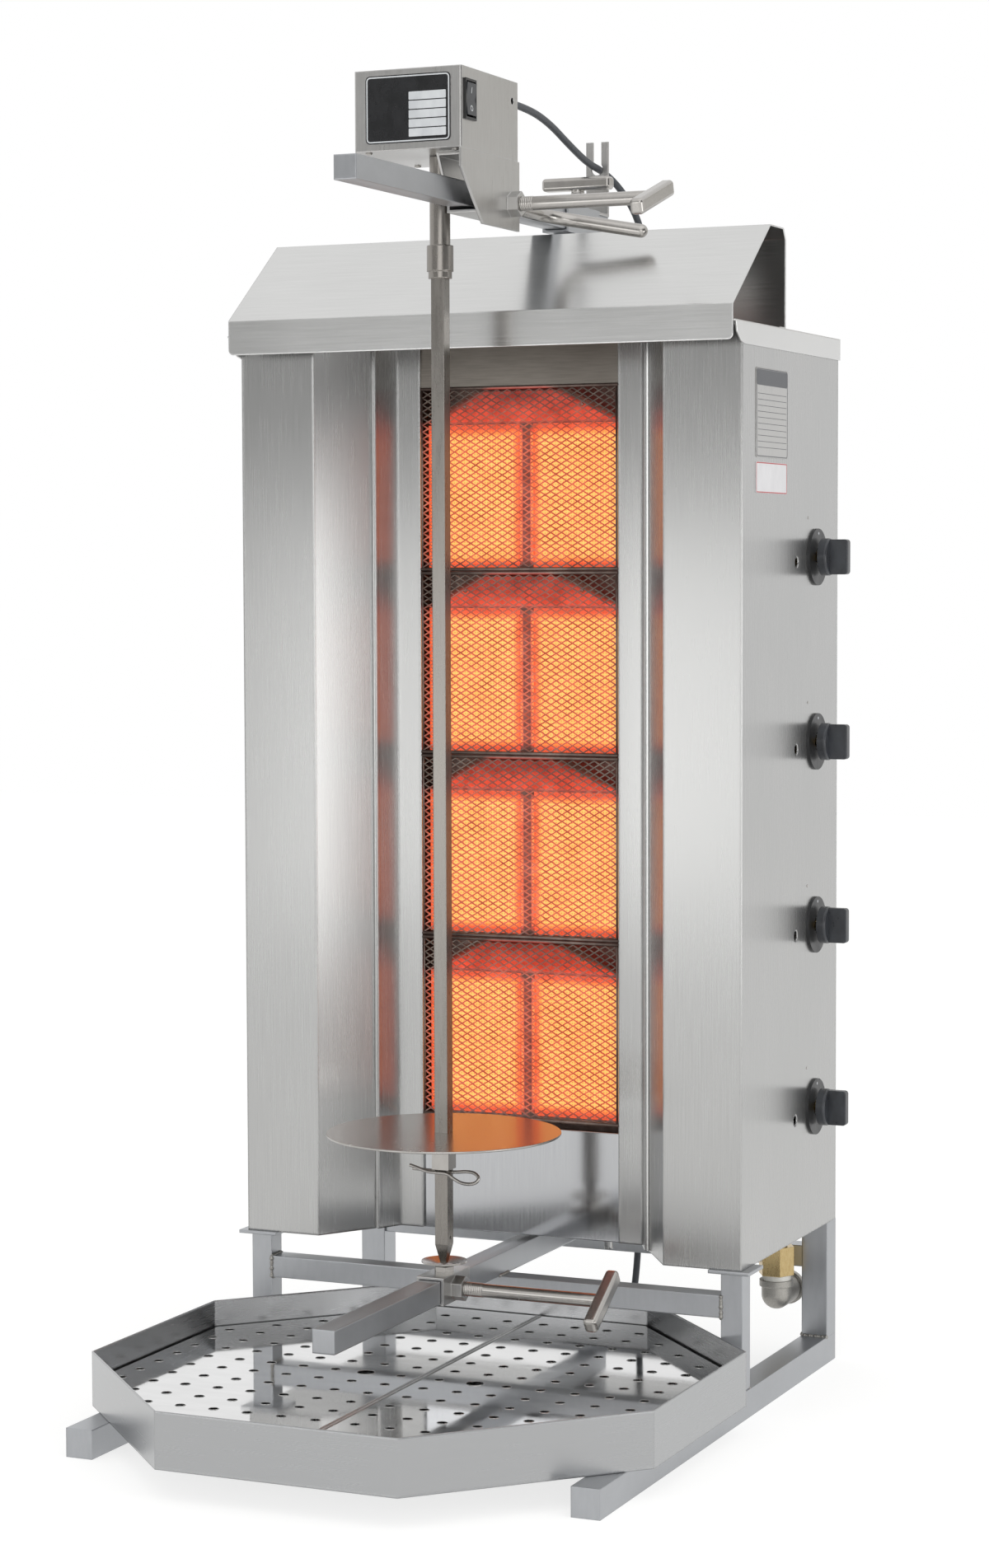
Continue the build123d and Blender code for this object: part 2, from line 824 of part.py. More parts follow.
def make_rocker():
    outline = [(rocker_back, -rocker_half_z + 1), (rocker_edge, -rocker_half_z), (rocker_dip, 0),
               (rocker_edge, rocker_half_z), (rocker_back, rocker_half_z - 1)]
    placed = [(x, switch_z + z) for x, z in outline]
    rocker = slab_y(placed, switch_y - rocker_half_y, switch_y + rocker_half_y)
    return rocker - rod((pivot_x, switch_y - 20, switch_z), (0, 1, 0), pivot_radius + pivot_clearance, 40)


def make_gland():
    gland = rod((arm_x, box_back, gland_z), (0, 1, 0), gland_radius, gland_flange)
    plane = Plane(origin=(arm_x, box_back + gland_flange, gland_z), z_dir=(0, 1, 0))
    length = gland_length - gland_flange
    taper = math.degrees(math.atan((gland_radius - 1.5 - relief_tip) / length))
    return gland + extrude(plane * Circle(gland_radius - 1.5), amount=length, taper=taper)


# Spit
def make_drive_tube():
    tube = rod((0, spit_y, coupling_top), (0, 0, 1), tube_radius, tube_top - coupling_top)
    tube += rod((0, spit_y, coupling_bottom), (0, 0, 1), coupling_radius, coupling_top - coupling_bottom)
    tube += rod((0, spit_y, collar_bottom), (0, 0, 1), collar_radius, coupling_bottom - collar_bottom)
    half = spit_bar / 2
    tube -= block(-half, half, spit_y - half, spit_y + half, collar_bottom, bar_top)
    tube -= rod((0, spit_y, shaft_bottom - 1), (0, 0, 1), shaft_radius + shaft_clearance, 20)
    return tube - rod((0, spit_y - 20, cross_hole_z), (0, 1, 0), cross_hole_radius, 40)


def make_spit_bar():
    half = spit_bar / 2
    bar = block(-half, half, spit_y - half, spit_y + half, taper_top, bar_top)
    height = taper_top - tip_bottom
    plane = Plane(origin=(0, spit_y, taper_top), x_dir=(1, 0, 0), z_dir=(0, 0, -1))
    angle = math.degrees(math.atan((half - tip_half) / height))
    bar += extrude(plane * Rectangle(spit_bar, spit_bar), amount=height, taper=angle)
    bar -= rod((-20, spit_y, clip_z), (1, 0, 0), clip_hole, 40)
    return bar - rod((-20, spit_y, low_hole_z), (1, 0, 0), low_hole_radius, 40)


def make_disc():
    disc = rod((0, spit_y, disc_z), (0, 0, 1), disc_radius, disc_thickness)
    disc = fillet(disc.edges(), 0.8)
    half = hub_size / 2
    disc += block(-half, half, spit_y - half, spit_y + half, hub_bottom, disc_z)
    half = spit_bar / 2 + hub_clearance
    return disc - block(-half, half, spit_y - half, spit_y + half, hub_bottom - 1, disc_z + 5)


def make_clip():
    front = spit_y - 2 * clip_bend_radius
    bend = (clip_bend_x + clip_bend_radius, spit_y - clip_bend_radius, clip_z)
    path = Line((clip_left, spit_y, clip_z), (clip_bend_x, spit_y, clip_z))
    path += ThreePointArc((clip_bend_x, spit_y, clip_z), bend, (clip_bend_x, front, clip_z))
    path += Line((clip_bend_x, front, clip_z), (clip_left, front, clip_z))
    section = Plane(origin=(clip_left, spit_y, clip_z), z_dir=(1, 0, 0)) * Circle(clip_wire)
    return sweep(section, path=path)


# Lower clamp and foot dish
clamp_top = arm_low_top + clamp_top_gap + clamp_thickness
dish_bottom = clamp_top + bolt_height


def make_clamp():
    inner = bar_size / 2 + clamp_gap
    outer = inner + clamp_thickness
    clamp = block(-outer, outer, clamp_front, clamp_back, clamp_bottom, clamp_top)
    clamp -= block(-inner, inner, clamp_front, clamp_back, clamp_bottom, arm_low_top + clamp_top_gap)
    clamp += hex_bar((outer, clamp_screw_y, clamp_screw_z), (1, 0, 0), nut_flats, nut_height)
    return clamp - rod((inner - 1, clamp_screw_y, clamp_screw_z), (1, 0, 0),
                       screw_radius + screw_clearance, 30)


def make_dish():
    bolt = hex_bar((0, spit_y, clamp_top), (0, 0, 1), bolt_flats, bolt_height)
    floor_z = dish_bottom + dish_wall
    profile = [(0, dish_bottom), (dish_flat, dish_bottom), (dish_radius, dish_bottom + dish_rise),
               (dish_radius, dish_bottom + dish_rise + dish_wall), (dish_flat, floor_z), (0, floor_z)]
    face = make_face(Polyline(*[(r, 0, z) for r, z in profile], close=True).edges())
    return bolt + Pos(0, spit_y, 0) * revolve(face, axis=Axis.Z)


def make_clamp_screw():
    tip = bar_size / 2 + tip_gap
    tilt = math.radians(clamp_handle_tilt)
    return t_screw((tip, clamp_screw_y, clamp_screw_z), (1, 0, 0), (0, math.cos(tilt), math.sin(tilt)),
                   clamp_handle_x - tip, clamp_handle_length)


# Drip tray
tray_floor = runner_size + tray_gap + tray_wall
tray_right = [(tray_edge_half, tray_front), (tray_half, tray_side_front), (tray_half, tray_side_back),
              (tray_edge_half, tray_back)]


def inset_right(distance):
    # The right half of the tray outline, moved inward.
    path = [(0, tray_front)] + tray_right + [(0, tray_back)]
    return [(x, y) for x, y in right_offset(path, -distance)]


def make_tray():
    outer = tray_right + flipped(tray_right)[::-1]
    inner = inset_right(tray_wall)[1:-1]
    tray = slab_z(outer, runner_size + tray_gap, tray_top)
    return tray - slab_z(inner + flipped(inner)[::-1], tray_floor, tray_top + 1)


def make_drain_plate(side):
    half = inset_right(tray_wall + plate_inset)
    half[0] = (seam_half, half[0][1])
    half[-1] = (seam_half, half[-1][1])
    outline = make_face(Polyline(*[(x, y) for x, y in half], close=True).edges())
    slope = (tray_side_front - tray_front) / (tray_half - tray_edge_half)
    holes = [Pos(finger_x, finger_y) * Circle(finger_radius)]
    middle = (tray_front + tray_back) / 2
    count = 0
    for row in range(-9, 10):
        y = finger_y + row * hole_pitch_y
        for step in range(8):
            x = hole_first_x + step * hole_pitch_x
            corner = abs(y - middle) - (middle - tray_front) + 14 + slope * max(0, x - tray_edge_half)
            near_finger = math.dist((x, y), (finger_x, finger_y)) < finger_radius + hole_radius + 4
            if x < tray_half - 14 and corner < 0 and not near_finger:
                holes.append(Pos(x, y) * Circle(hole_radius))
                count += 1
    plate = extrude(outline - holes, amount=plate_sheet)
    plate = Pos(0, 0, plate_top - plate_sheet) * plate
    for y in leg_rows:
        plate += block(leg_inner, leg_inner + leg_length, y, y + plate_sheet, tray_floor + tray_gap,
                       plate_top - plate_sheet)
    print("holes in a drain plate", count)
    return plate if side > 0 else mirror(plate, about=Plane.YZ)


# Mains lead: hand-placed points from the box, through the fork and down behind the body.
coil_x = 37.0 - coil_radius
cord_start = (arm_x, box_back + gland_length, gland_z)
cord_points = [
    cord_start, (22, 50, gland_z), (22, 98, 1151), (22, 146, 1136.5), (22, 190, 1125),
    (22.6, 228, 1121), (30, 250, 1108.5), (41, 267, 1084), (47, 277, 1048), (48.4, 281.5, 985),
    (49.6, 284, 900), (50.3, 285.6, 812), (50.2, 286.2, 722), (49.4, 285.8, 632), (48, 284.8, 542),
    (46.2, 283.4, 452), (44.2, 281.9, 362), (42.2, 280.5, 272), (40.4, 279.4, 190), (39, 278, 120),
    (38, 274, 66), (37.4, 258, 24), (37, 220, cord_floor), (37, coil_y, cord_floor)]


def path_radii(points):
    radii = []
    for a, b, c in zip(points, points[1:], points[2:]):
        first = Vector(*b) - Vector(*a)
        second = Vector(*c) - Vector(*b)
        turn = math.radians(first.get_angle(second))
        radii.append(0.45 * min(first.length, second.length) / math.tan(turn / 2))
    return radii


def make_cord():
    radii = path_radii(cord_points)
    print("cord bend radii in diameters", [round(r / cord_radius / 2, 1) for r in radii])
    path = FilletPolyline(*cord_points, radius=radii)
    section = Plane(origin=path @ 0, z_dir=path % 0) * Circle(cord_radius)
    tube = sweep(section, path=path)
    volume = math.pi * cord_radius ** 2 * path.length
    print("cord length", round(path.length), "volume share", round(tube.volume / volume, 4))
    return tube


# Coil: in along the floor, up one layer in half a turn, out again and up to the plug.
def coil_point(turn):
    last = 2 * coil_turns + 0.5
    radius = coil_radius - coil_pitch * min(turn, last - turn)
    share = min(max((turn - coil_turns) / 0.5, 0), 1)
    lift = coil_layer * share * share * (3 - 2 * share)
    share = min(max((turn - last + 0.5) / 0.5, 0), 1)
    lift += (plug_radius - cord_floor - coil_layer) * share * share * (3 - 2 * share)
    angle = -2 * math.pi * turn
    return Vector(coil_x + radius * math.cos(angle), coil_y + radius * math.sin(angle), cord_floor + lift)


def coil_way(turn):
    last = 2 * coil_turns + 0.5
    if turn <= 0 or turn >= last:
        return Vector(0, -1 if turn <= 0 else 1, 0)
    return (coil_point(turn + 0.001) - coil_point(turn - 0.001)).normalized()


def two_arcs(a, way_a, b, way_b):
    # Two arcs that leave a and reach b in the given directions.
    chord = b - a
    both = way_a + way_b
    spread = 2 * (1 - way_a.dot(way_b))
    reach = (-chord.dot(both) + math.sqrt(chord.dot(both) ** 2 + spread * chord.dot(chord))) / spread
    near = a + way_a * reach
    far = b - way_b * reach
    middle = (near + far) * 0.5
    return [TangentArc(a, middle, tangent=way_a), TangentArc(middle, b, tangent=far - near)]


def make_coil():
    last = 2 * coil_turns + 0.5
    turns = [i / 4 for i in range(int(last * 4) + 1)]
    straight = 2 * cord_radius
    start = coil_point(0)
    end = coil_point(last)
    edges = []
    for a, b in zip(turns, turns[1:]):
        edges += two_arcs(coil_point(a), coil_way(a), coil_point(b), coil_way(b))
    edges.append(Line(end, end + Vector(0, straight, 0)))
    path = Wire([edge.edge() for edge in edges])
    section = Plane(origin=start, z_dir=(0, -1, 0)) * Circle(cord_radius)
    tube = sweep(section, path=path)
    samples = [coil_point(i / 200) for i in range(int(last * 200) + 1)]
    gap = min((samples[i] - samples[j]).length for i in range(len(samples))
              for j in range(i + 100, len(samples))) - 2 * cord_radius
    volume = math.pi * cord_radius ** 2 * path.length
    print("coil length", round(path.length), "own gap", round(gap, 2), "volume share",
          round(tube.volume / volume, 4))
    return tube


def make_plug():
    end = coil_point(2 * coil_turns + 0.5)
    start = (end.X, end.Y + 2 * cord_radius, plug_radius)
    widest = plug_radius - 7
    taper = -math.degrees(math.atan((widest - relief_tip) / plug_relief))
    relief = extrude(Plane(origin=start, z_dir=(0, 1, 0)) * Circle(relief_tip), amount=plug_relief,
                     taper=taper)
    y0 = start[1] + plug_relief
    body = rod((start[0], y0, plug_radius), (0, 1, 0), plug_radius, plug_body)
    body = fillet(body.edges().sort_by(Axis.Y)[0], 5)
    plug = relief + body
    for side in (-1, 1):
        plug += rod((start[0] + side * plug_pin_half, y0 + plug_body, plug_radius), (0, 1, 0),
                    plug_pin_radius, plug_pin_length)
    return plug


nodes = {
    "runners": make_runners(),
    "front_uprights": make_front_uprights(),
    "rear_uprights": make_rear_uprights(),
    "front_rail": make_rail(front_inner, front_upright_y),
    "rear_rail": make_rail(back_inner, rear_rail_y),
    "lower_arm": make_arm(0, lower_arm_front, rear_rail_y + bar_size, rail_z + bar_size),
    "column_left": make_column_left(),
    "column_right": make_column_right(),
    "burner_strips": make_strips(),
    "top_panel": make_inner_panel(top_panel_bottom, body_top, top_panel_bottom),
    "lower_panel": make_inner_panel(body_bottom, lower_panel_top, lower_panel_top - sheet),
    "burner_panel": make_burner_panel(),
    "back_panel": make_back_panel(),
    "top_cover": make_top_cover(),
    "body_floor": make_floor(),
    "hood": make_hood(),
    "burner_boxes": Part() + [make_burner(z) for z in burner_rows],
    "ceramic_plaques": make_plaques(),
    "mesh_guards": make_guards(),
    "gas_manifold": make_manifold(),
    "gas_valves": make_valves(),
    "gas_adaptor": make_adaptor(),
    "seal_ring": make_seal(),
    "gas_elbow": make_elbow(),
    "knob_bezels": make_bezels(),
    "mast": make_mast(),
    "arm_sleeve": make_sleeve(),
    "upper_arm": make_arm(arm_x, arm_front, arm_back, arm_bottom),
    "rear_screw": make_rear_screw(),
    "cable_fork": make_fork(),
    "carriage_bracket": make_carriage(),
    "carriage_screw": make_carriage_screw(),
    "pull_rod": make_pull_rod(),
    "motor_housing": make_housing(),
    "motor_base": make_base(),
    "gear_motor": make_gear_motor(),
    "switch_frame": make_switch_frame(),
    "rocker": make_rocker(),
    "cord_gland": make_gland(),
    "drive_tube": make_drive_tube(),
    "spit_bar": make_spit_bar(),
    "meat_disc": make_disc(),
    "clip_pin": make_clip(),
    "lower_clamp": make_clamp(),
    "foot_dish": make_dish(),
    "lower_screw": make_clamp_screw(),
    "drip_tray": make_tray(),
    "drain_plate_left": make_drain_plate(-1),
    "drain_plate_right": make_drain_plate(1),
    "mains_cord": make_cord(),
    "cord_coil": make_coil(),
    "mains_plug": make_plug(),
}
for i, z in enumerate(knob_rows):
    nodes[f"valve_stem_{i + 1}"] = make_stem(z)
    nodes[f"knob_{i + 1}"] = make_knob(z)

for name, shape in nodes.items():
    export_step(shape, f"parts/{name}.step")
print("nodes", len(nodes))
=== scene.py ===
import math

import bmesh
import bpy
from mathutils import Matrix, Vector


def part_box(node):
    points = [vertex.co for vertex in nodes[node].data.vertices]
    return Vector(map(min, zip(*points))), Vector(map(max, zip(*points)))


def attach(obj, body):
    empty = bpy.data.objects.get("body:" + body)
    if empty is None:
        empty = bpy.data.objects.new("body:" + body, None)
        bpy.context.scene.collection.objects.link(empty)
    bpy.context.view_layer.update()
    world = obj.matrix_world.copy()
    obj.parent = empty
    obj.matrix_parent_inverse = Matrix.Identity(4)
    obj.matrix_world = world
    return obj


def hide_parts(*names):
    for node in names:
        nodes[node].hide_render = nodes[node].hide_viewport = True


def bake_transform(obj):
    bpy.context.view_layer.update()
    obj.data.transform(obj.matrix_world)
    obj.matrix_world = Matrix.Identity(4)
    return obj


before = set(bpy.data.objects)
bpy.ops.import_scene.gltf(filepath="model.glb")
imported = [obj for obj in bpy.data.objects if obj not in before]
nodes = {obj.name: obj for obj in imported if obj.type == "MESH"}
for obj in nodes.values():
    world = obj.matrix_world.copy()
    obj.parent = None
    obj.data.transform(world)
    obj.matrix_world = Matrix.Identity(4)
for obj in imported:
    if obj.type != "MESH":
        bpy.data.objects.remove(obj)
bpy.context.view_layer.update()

scene = bpy.context.scene
print("frame loaded:", len(nodes), "nodes")

# camera, fitted to the photograph's edges
cameraFit = {"place": (1.21654, -2.73496, 0.74586), "yaw": 23.823, "pitch": 3.639, "roll": -0.182,
             "focalPixels": 4069.07, "imageHeight": 1903, "sensor": 36.0, "farthest": 100}


def makeCamera(fit):
    yaw, pitch, roll = (math.radians(fit[key]) for key in ("yaw", "pitch", "roll"))
    forward = Vector((-math.sin(yaw) * math.cos(pitch), math.cos(yaw) * math.cos(pitch), -math.sin(pitch)))
    right = Vector((math.cos(yaw), math.sin(yaw), 0))
    up = right.cross(forward)
    rolledRight = right * math.cos(roll) + up * math.sin(roll)
    rolledUp = up * math.cos(roll) - right * math.sin(roll)
    data = bpy.data.cameras.new("photoCamera")
    data.sensor_fit = "VERTICAL"
    data.sensor_height = fit["sensor"]
    data.lens = fit["focalPixels"] * fit["sensor"] / fit["imageHeight"]
    data.clip_end = fit["farthest"]
    camera = bpy.data.objects.new("photoCamera", data)
    turn = Matrix((rolledRight, rolledUp, -forward)).transposed().to_4x4()
    camera.matrix_world = Matrix.Translation(fit["place"]) @ turn
    scene.collection.objects.link(camera)
    scene.camera = camera


makeCamera(cameraFit)
print("camera placed")


# small helpers for meshes
def newPiece(name, mesh, material=None, smooth=False):
    # accepts a bmesh or a finished mesh
    if isinstance(mesh, bmesh.types.BMesh):
        bmesh.ops.recalc_face_normals(mesh, faces=mesh.faces)
        data = bpy.data.meshes.new(name)
        mesh.to_mesh(data)
        mesh.free()
    else:
        data = mesh
        data.name = name
    if material:
        data.materials.clear()
        data.materials.append(material)
    data.polygons.foreach_set("use_smooth", [smooth] * len(data.polygons))
    piece = bpy.data.objects.new(name, data)
    scene.collection.objects.link(piece)
    return piece


def stitch(bm, first, second):
    # closed band of faces between two rings of points
    for i in range(len(first)):
        j = (i + 1) % len(first)
        bm.faces.new((first[i], first[j], second[j], second[i]))


def addBox(bm, low, high, rounding=0.0):
    size = Vector(high) - Vector(low)
    middle = (Vector(high) + Vector(low)) / 2
    made = bmesh.ops.create_cube(bm, size=1, matrix=Matrix.Translation(middle) @ Matrix.Diagonal((*size, 1)))
    if rounding:
        edges = {edge for vert in made["verts"] for edge in vert.link_edges}
        bmesh.ops.bevel(bm, geom=list(edges), offset=rounding, segments=2, affect="EDGES", profile=0.5)


def addRod(bm, start, end, radius, sides):
    line = Vector(end) - Vector(start)
    turn = line.to_track_quat("Z", "Y").to_matrix().to_4x4()
    place = Matrix.Translation((Vector(start) + Vector(end)) / 2) @ turn
    bmesh.ops.create_cone(bm, cap_ends=True, segments=sides, radius1=radius, radius2=radius,
                          depth=line.length, matrix=place)


def circlePoint(radius, step, count, z=0.0):
    angle = 2 * math.pi * step / count
    return Vector((radius * math.cos(angle), radius * math.sin(angle), z))


def roundedOutline(width, height, radius, steps=5):
    points = []
    for cx, cy, start in ((1, 1, 0), (-1, 1, 90), (-1, -1, 180), (1, -1, 270)):
        for step in range(steps + 1):
            angle = math.radians(start + 90 * step / steps)
            points.append((cx * (width / 2 - radius) + radius * math.cos(angle),
                           cy * (height / 2 - radius) + radius * math.sin(angle)))
    return points


def addPlate(bm, place, width, height, thickness, radius, inner=0.0):
    # plate in the local XY plane of place, or a frame of that width when inner is given
    rings = [roundedOutline(width, height, radius)]
    if inner:
        rings.append(roundedOutline(width - 2 * inner, height - 2 * inner, max(radius - inner, 0.0002)))
    layers = [[[bm.verts.new(place @ Vector((x, y, z))) for x, y in ring] for ring in rings]
              for z in (0, thickness)]
    for lower, upper in zip(*layers):
        stitch(bm, lower, upper)
    for layer in layers:
        if inner:
            stitch(bm, *layer)
        else:
            bm.faces.new(layer[0])


def plateBasis(centre, across, up):
    across, up = Vector(across), Vector(up)
    out = across.cross(up)
    return Matrix.Translation(centre) @ Matrix((across, up, out)).transposed().to_4x4()


# small helpers for shader nodes
def hexColour(code):
    values = [int(code[i:i + 2], 16) / 255 for i in (1, 3, 5)]
    return [v / 12.92 if v <= 0.04045 else ((v + 0.055) / 1.055) ** 2.4 for v in values] + [1.0]


def addNode(tree, kind, inputs=None, **settings):
    node = tree.nodes.new("ShaderNode" + kind)
    for key, value in settings.items():
        setattr(node, key, value)
    for key, value in (inputs or {}).items():
        if isinstance(value, bpy.types.NodeSocket):
            tree.links.new(value, node.inputs[key])
        else:
            node.inputs[key].default_value = value
    return node


def newMaterial(name):
    material = bpy.data.materials.new(name)
    material.use_nodes = True
    tree = material.node_tree
    tree.nodes.clear()
    shader = addNode(tree, "BsdfPrincipled")
    addNode(tree, "OutputMaterial", {"Surface": shader.outputs[0]})
    return material, tree, shader


def objectPoint(tree):
    return addNode(tree, "TexCoord").outputs["Object"]


def noise(tree, sizes, detail=3, roughness=0.55, point=None):
    # sizes are the real width of one blotch along X, Y and Z, in metres
    scale = [1 / size for size in sizes]
    place = addNode(tree, "Mapping", {"Vector": point or objectPoint(tree), "Scale": scale})
    texture = addNode(tree, "TexNoise", {"Vector": place.outputs[0], "Scale": 1.0, "Detail": detail,
                                         "Roughness": roughness})
    return texture.outputs["Fac"]


def spread(tree, value, low, high, fromLow=0.3, fromHigh=0.7):
    node = addNode(tree, "MapRange", {"Value": value, "From Min": fromLow, "From Max": fromHigh,
                                      "To Min": low, "To Max": high})
    return node.outputs[0]


def calc(tree, operation, first, second=0.0, third=0.0):
    node = addNode(tree, "Math", {0: first, 1: second, 2: third}, operation=operation)
    return node.outputs[0]


def ramp(tree, value, stops):
    node = addNode(tree, "ValToRGB", {"Fac": value})
    band = node.color_ramp
    while len(band.elements) < len(stops):
        band.elements.new(0.5)
    for element, (place, code) in zip(band.elements, stops):
        element.position = place
        element.color = hexColour(code)
    return node.outputs[0]


def tint(tree, shader, value, look, low=0.3, high=0.7):
    # base colour between the look's two tones
    colour = ramp(tree, value, ((low, look["dark"]), (high, look["light"])))
    tree.links.new(colour, shader.inputs["Base Color"])


def roughen(tree, shader, value, look):
    tree.links.new(spread(tree, value, *look["roughness"]), shader.inputs["Roughness"])


def dent(tree, shader, strength, depth, height, fold=0.0, samples=8):
    # bump of the surface, over folds rounded by a bevel where there are any
    bump = addNode(tree, "Bump", {"Strength": strength, "Distance": depth, "Height": height})
    if fold:
        rounded = addNode(tree, "Bevel", {"Radius": fold}, samples=samples)
        tree.links.new(rounded.outputs[0], bump.inputs["Normal"])
    tree.links.new(bump.outputs[0], shader.inputs["Normal"])


# stainless sheets and other metals: grain gives the streaks, blotches the handling marks, and the fold
# is the radius of the bright line along each bend
sheetMarks = {"blotch": (0.11, 0.11, 0.16), "blotchShare": 0.35, "streakShare": 0.65, "depth": 0.0002}
plainMetal = {"anisotropy": 0.0, "turn": 0.0}
steelLooks = {
    # long vertical grain of the columns and inner strips
    "brushedSheet": {"dark": "#AFAFAE", "light": "#B9B9B8", "roughness": (0.24, 0.29), "anisotropy": 0.6,
                     "grain": (0.0011, 0.0011, 0.06), "bump": 0.012, "fold": 0.003},
    # smooth panel under the burners, which shows soft reflections
    "panelSheet": {"dark": "#B0B1B3", "light": "#B9BABC", "roughness": (0.09, 0.14),
                   "grain": (0.002, 0.002, 0.05), "bump": 0.003, "fold": 0.0016},
    # panel over the burners, painted darker and browner for the shade of the hood over it
    "smokedSheet": {"dark": "#7E7871", "light": "#938D85", "roughness": (0.26, 0.38), "anisotropy": 0.4,
                    "grain": (0.03, 0.002, 0.0015), "bump": 0.02, "fold": 0.0016},
    # hood, finer and satin, grain along its width
    "satinSheet": {"dark": "#CDCDCC", "light": "#D5D5D4", "roughness": (0.2, 0.27), "anisotropy": 0.4,
                   "turn": 0.25, "grain": (0.06, 0.0012, 0.0012), "bump": 0.008, "fold": 0.0016},
    # tray, nearly plain, with a faint grain along its walls
    "traySheet": {"dark": "#A9AAAB", "light": "#ABACAD", "roughness": (0.27, 0.275), "anisotropy": 0.4,
                  "turn": 0.25, "grain": (0.05, 0.05, 0.0014), "bump": 0.0003, "fold": 0.0028},
    # square tubes, drawn and wiped clean
    "drawnTube": {"dark": "#A8AAAD", "light": "#B1B3B6", "roughness": (0.34, 0.4), "anisotropy": 0.3,
                  "grain": (0.006, 0.03, 0.02), "bump": 0.006, "fold": 0.0018},
    # folded box and brackets of the motor
    "boxSheet": {"dark": "#B3B2B0", "light": "#BFBEBC", "roughness": (0.26, 0.34), "anisotropy": 0.3,
                 "grain": (0.0012, 0.0012, 0.02), "bump": 0.02, "fold": 0.0012},
    # turned and ground rods and handles, a little warm
    "turnedSteel": {"dark": "#A9A6A2", "light": "#B2AFAB", "roughness": (0.22, 0.28),
                    "grain": (0.006, 0.006, 0.02), "bump": 0.0, "fold": 0.0},
    # spit and its drive tube, greyer from heat and washing
    "spitSteel": {"dark": "#85817C", "light": "#938F8A", "roughness": (0.24, 0.32),
                  "grain": (0.004, 0.004, 0.03), "bump": 0.004, "fold": 0.0012},
    # gas pipes and weld beads, dull from the mill
    "pipeSteel": {"dark": "#8E8C88", "light": "#A9A7A2", "roughness": (0.35, 0.5),
                  "grain": (0.003, 0.003, 0.01), "bump": 0.05, "fold": 0.0006},
    # cast elbow, dull and grainy
    "castIron": {"dark": "#96948F", "light": "#BDBAB4", "roughness": (0.38, 0.55),
                 "grain": (0.0012, 0.0012, 0.0012), "bump": 0.25, "fold": 0.001},
    # die-cast gear case, grey and matt
    "motorMetal": {"dark": "#7E7F82", "light": "#97989B", "roughness": (0.35, 0.5),
                   "grain": (0.002, 0.002, 0.002), "bump": 0.05, "fold": 0.0006},
    # brass of the adaptor and valves, pale and lightly worn
    "brass": {"dark": "#B0986A", "light": "#CDB88A", "roughness": (0.22, 0.36),
              "grain": (0.002, 0.002, 0.006), "bump": 0.04, "fold": 0.0006},
}


def steel(name, look):
    material, tree, shader = newMaterial(name)
    streak = noise(tree, look["grain"], detail=4, roughness=0.6)
    blotch = noise(tree, sheetMarks["blotch"], detail=2)
    mixed = calc(tree, "MULTIPLY_ADD", blotch, sheetMarks["blotchShare"],
                 calc(tree, "MULTIPLY", streak, sheetMarks["streakShare"]))
    tint(tree, shader, mixed, look, 0.32, 0.68)
    roughen(tree, shader, mixed, look)
    dent(tree, shader, look["bump"], sheetMarks["depth"], streak, look["fold"])
    shader.inputs["Metallic"].default_value = 1.0
    shader.inputs["Anisotropic"].default_value = look["anisotropy"]
    shader.inputs["Anisotropic Rotation"].default_value = look["turn"]
    return material


steels = {name: steel(name, {**plainMetal, **look}) for name, look in steelLooks.items()}

# polished plates: a near mirror with a slow sheet waviness and wiping marks
mirrorLook = {"dark": "#D4D4D4", "light": "#E0E0E0", "roughness": (0.03, 0.09), "wipe": (0.06, 0.02, 0.06),
              "wave": 0.05, "waveDepth": 0.0006, "waveStrength": 0.06}


def mirrorSteel(look):
    material, tree, shader = newMaterial("polishedSheet")
    wipe = noise(tree, look["wipe"], detail=4)
    wave = noise(tree, (look["wave"],) * 3, detail=1)
    tint(tree, shader, wipe, look)
    roughen(tree, shader, wipe, look)
    dent(tree, shader, look["waveStrength"], look["waveDepth"], wave)
    shader.inputs["Metallic"].default_value = 1.0
    return material


polishedSheet = mirrorSteel(mirrorLook)

# plastics, rubber and paint: fine grain in the gloss and a few scuffs in the colour
plasticBody = {"scuff": (0.012, 0.012, 0.02), "depth": 0.0001, "ior": 1.5}
plasticLooks = {
    # moulded phenolic, satin
    "blackKnob": {"dark": "#2A2C30", "light": "#393C41", "roughness": (0.26, 0.42),
                  "grain": 0.0012, "bump": 0.06},
    "blackBezel": {"dark": "#131415", "light": "#1F2022", "roughness": (0.3, 0.45),
                   "grain": 0.001, "bump": 0.08},
    # extruded PVC, dull
    "greyLead": {"dark": "#3E4145", "light": "#4C4F54", "roughness": (0.45, 0.6),
                 "grain": 0.0015, "bump": 0.08},
    # pressed PTFE, waxy white
    "whiteSeal": {"dark": "#D9D8D2", "light": "#EDECE7", "roughness": (0.5, 0.65),
                  "grain": 0.001, "bump": 0.15},
    # baked enamel, smooth and glossy
    "blackEnamel": {"dark": "#101113", "light": "#191A1D", "roughness": (0.2, 0.34),
                    "grain": 0.003, "bump": 0.02},
    # printed inks and coated paper, flat
    "paleInk": {"dark": "#C3C6C9", "light": "#D2D5D7", "roughness": (0.35, 0.5),
                "grain": 0.002, "bump": 0.02},
    "paleLabel": {"dark": "#D7D6D8", "light": "#E2E1E3", "roughness": (0.35, 0.5),
                  "grain": 0.003, "bump": 0.02},
    "redInk": {"dark": "#B24A4E", "light": "#C25B5E", "roughness": (0.4, 0.55),
               "grain": 0.002, "bump": 0.02},
    "greyInk": {"dark": "#4A4C50", "light": "#5A5C60", "roughness": (0.35, 0.5),
                "grain": 0.002, "bump": 0.02},
}


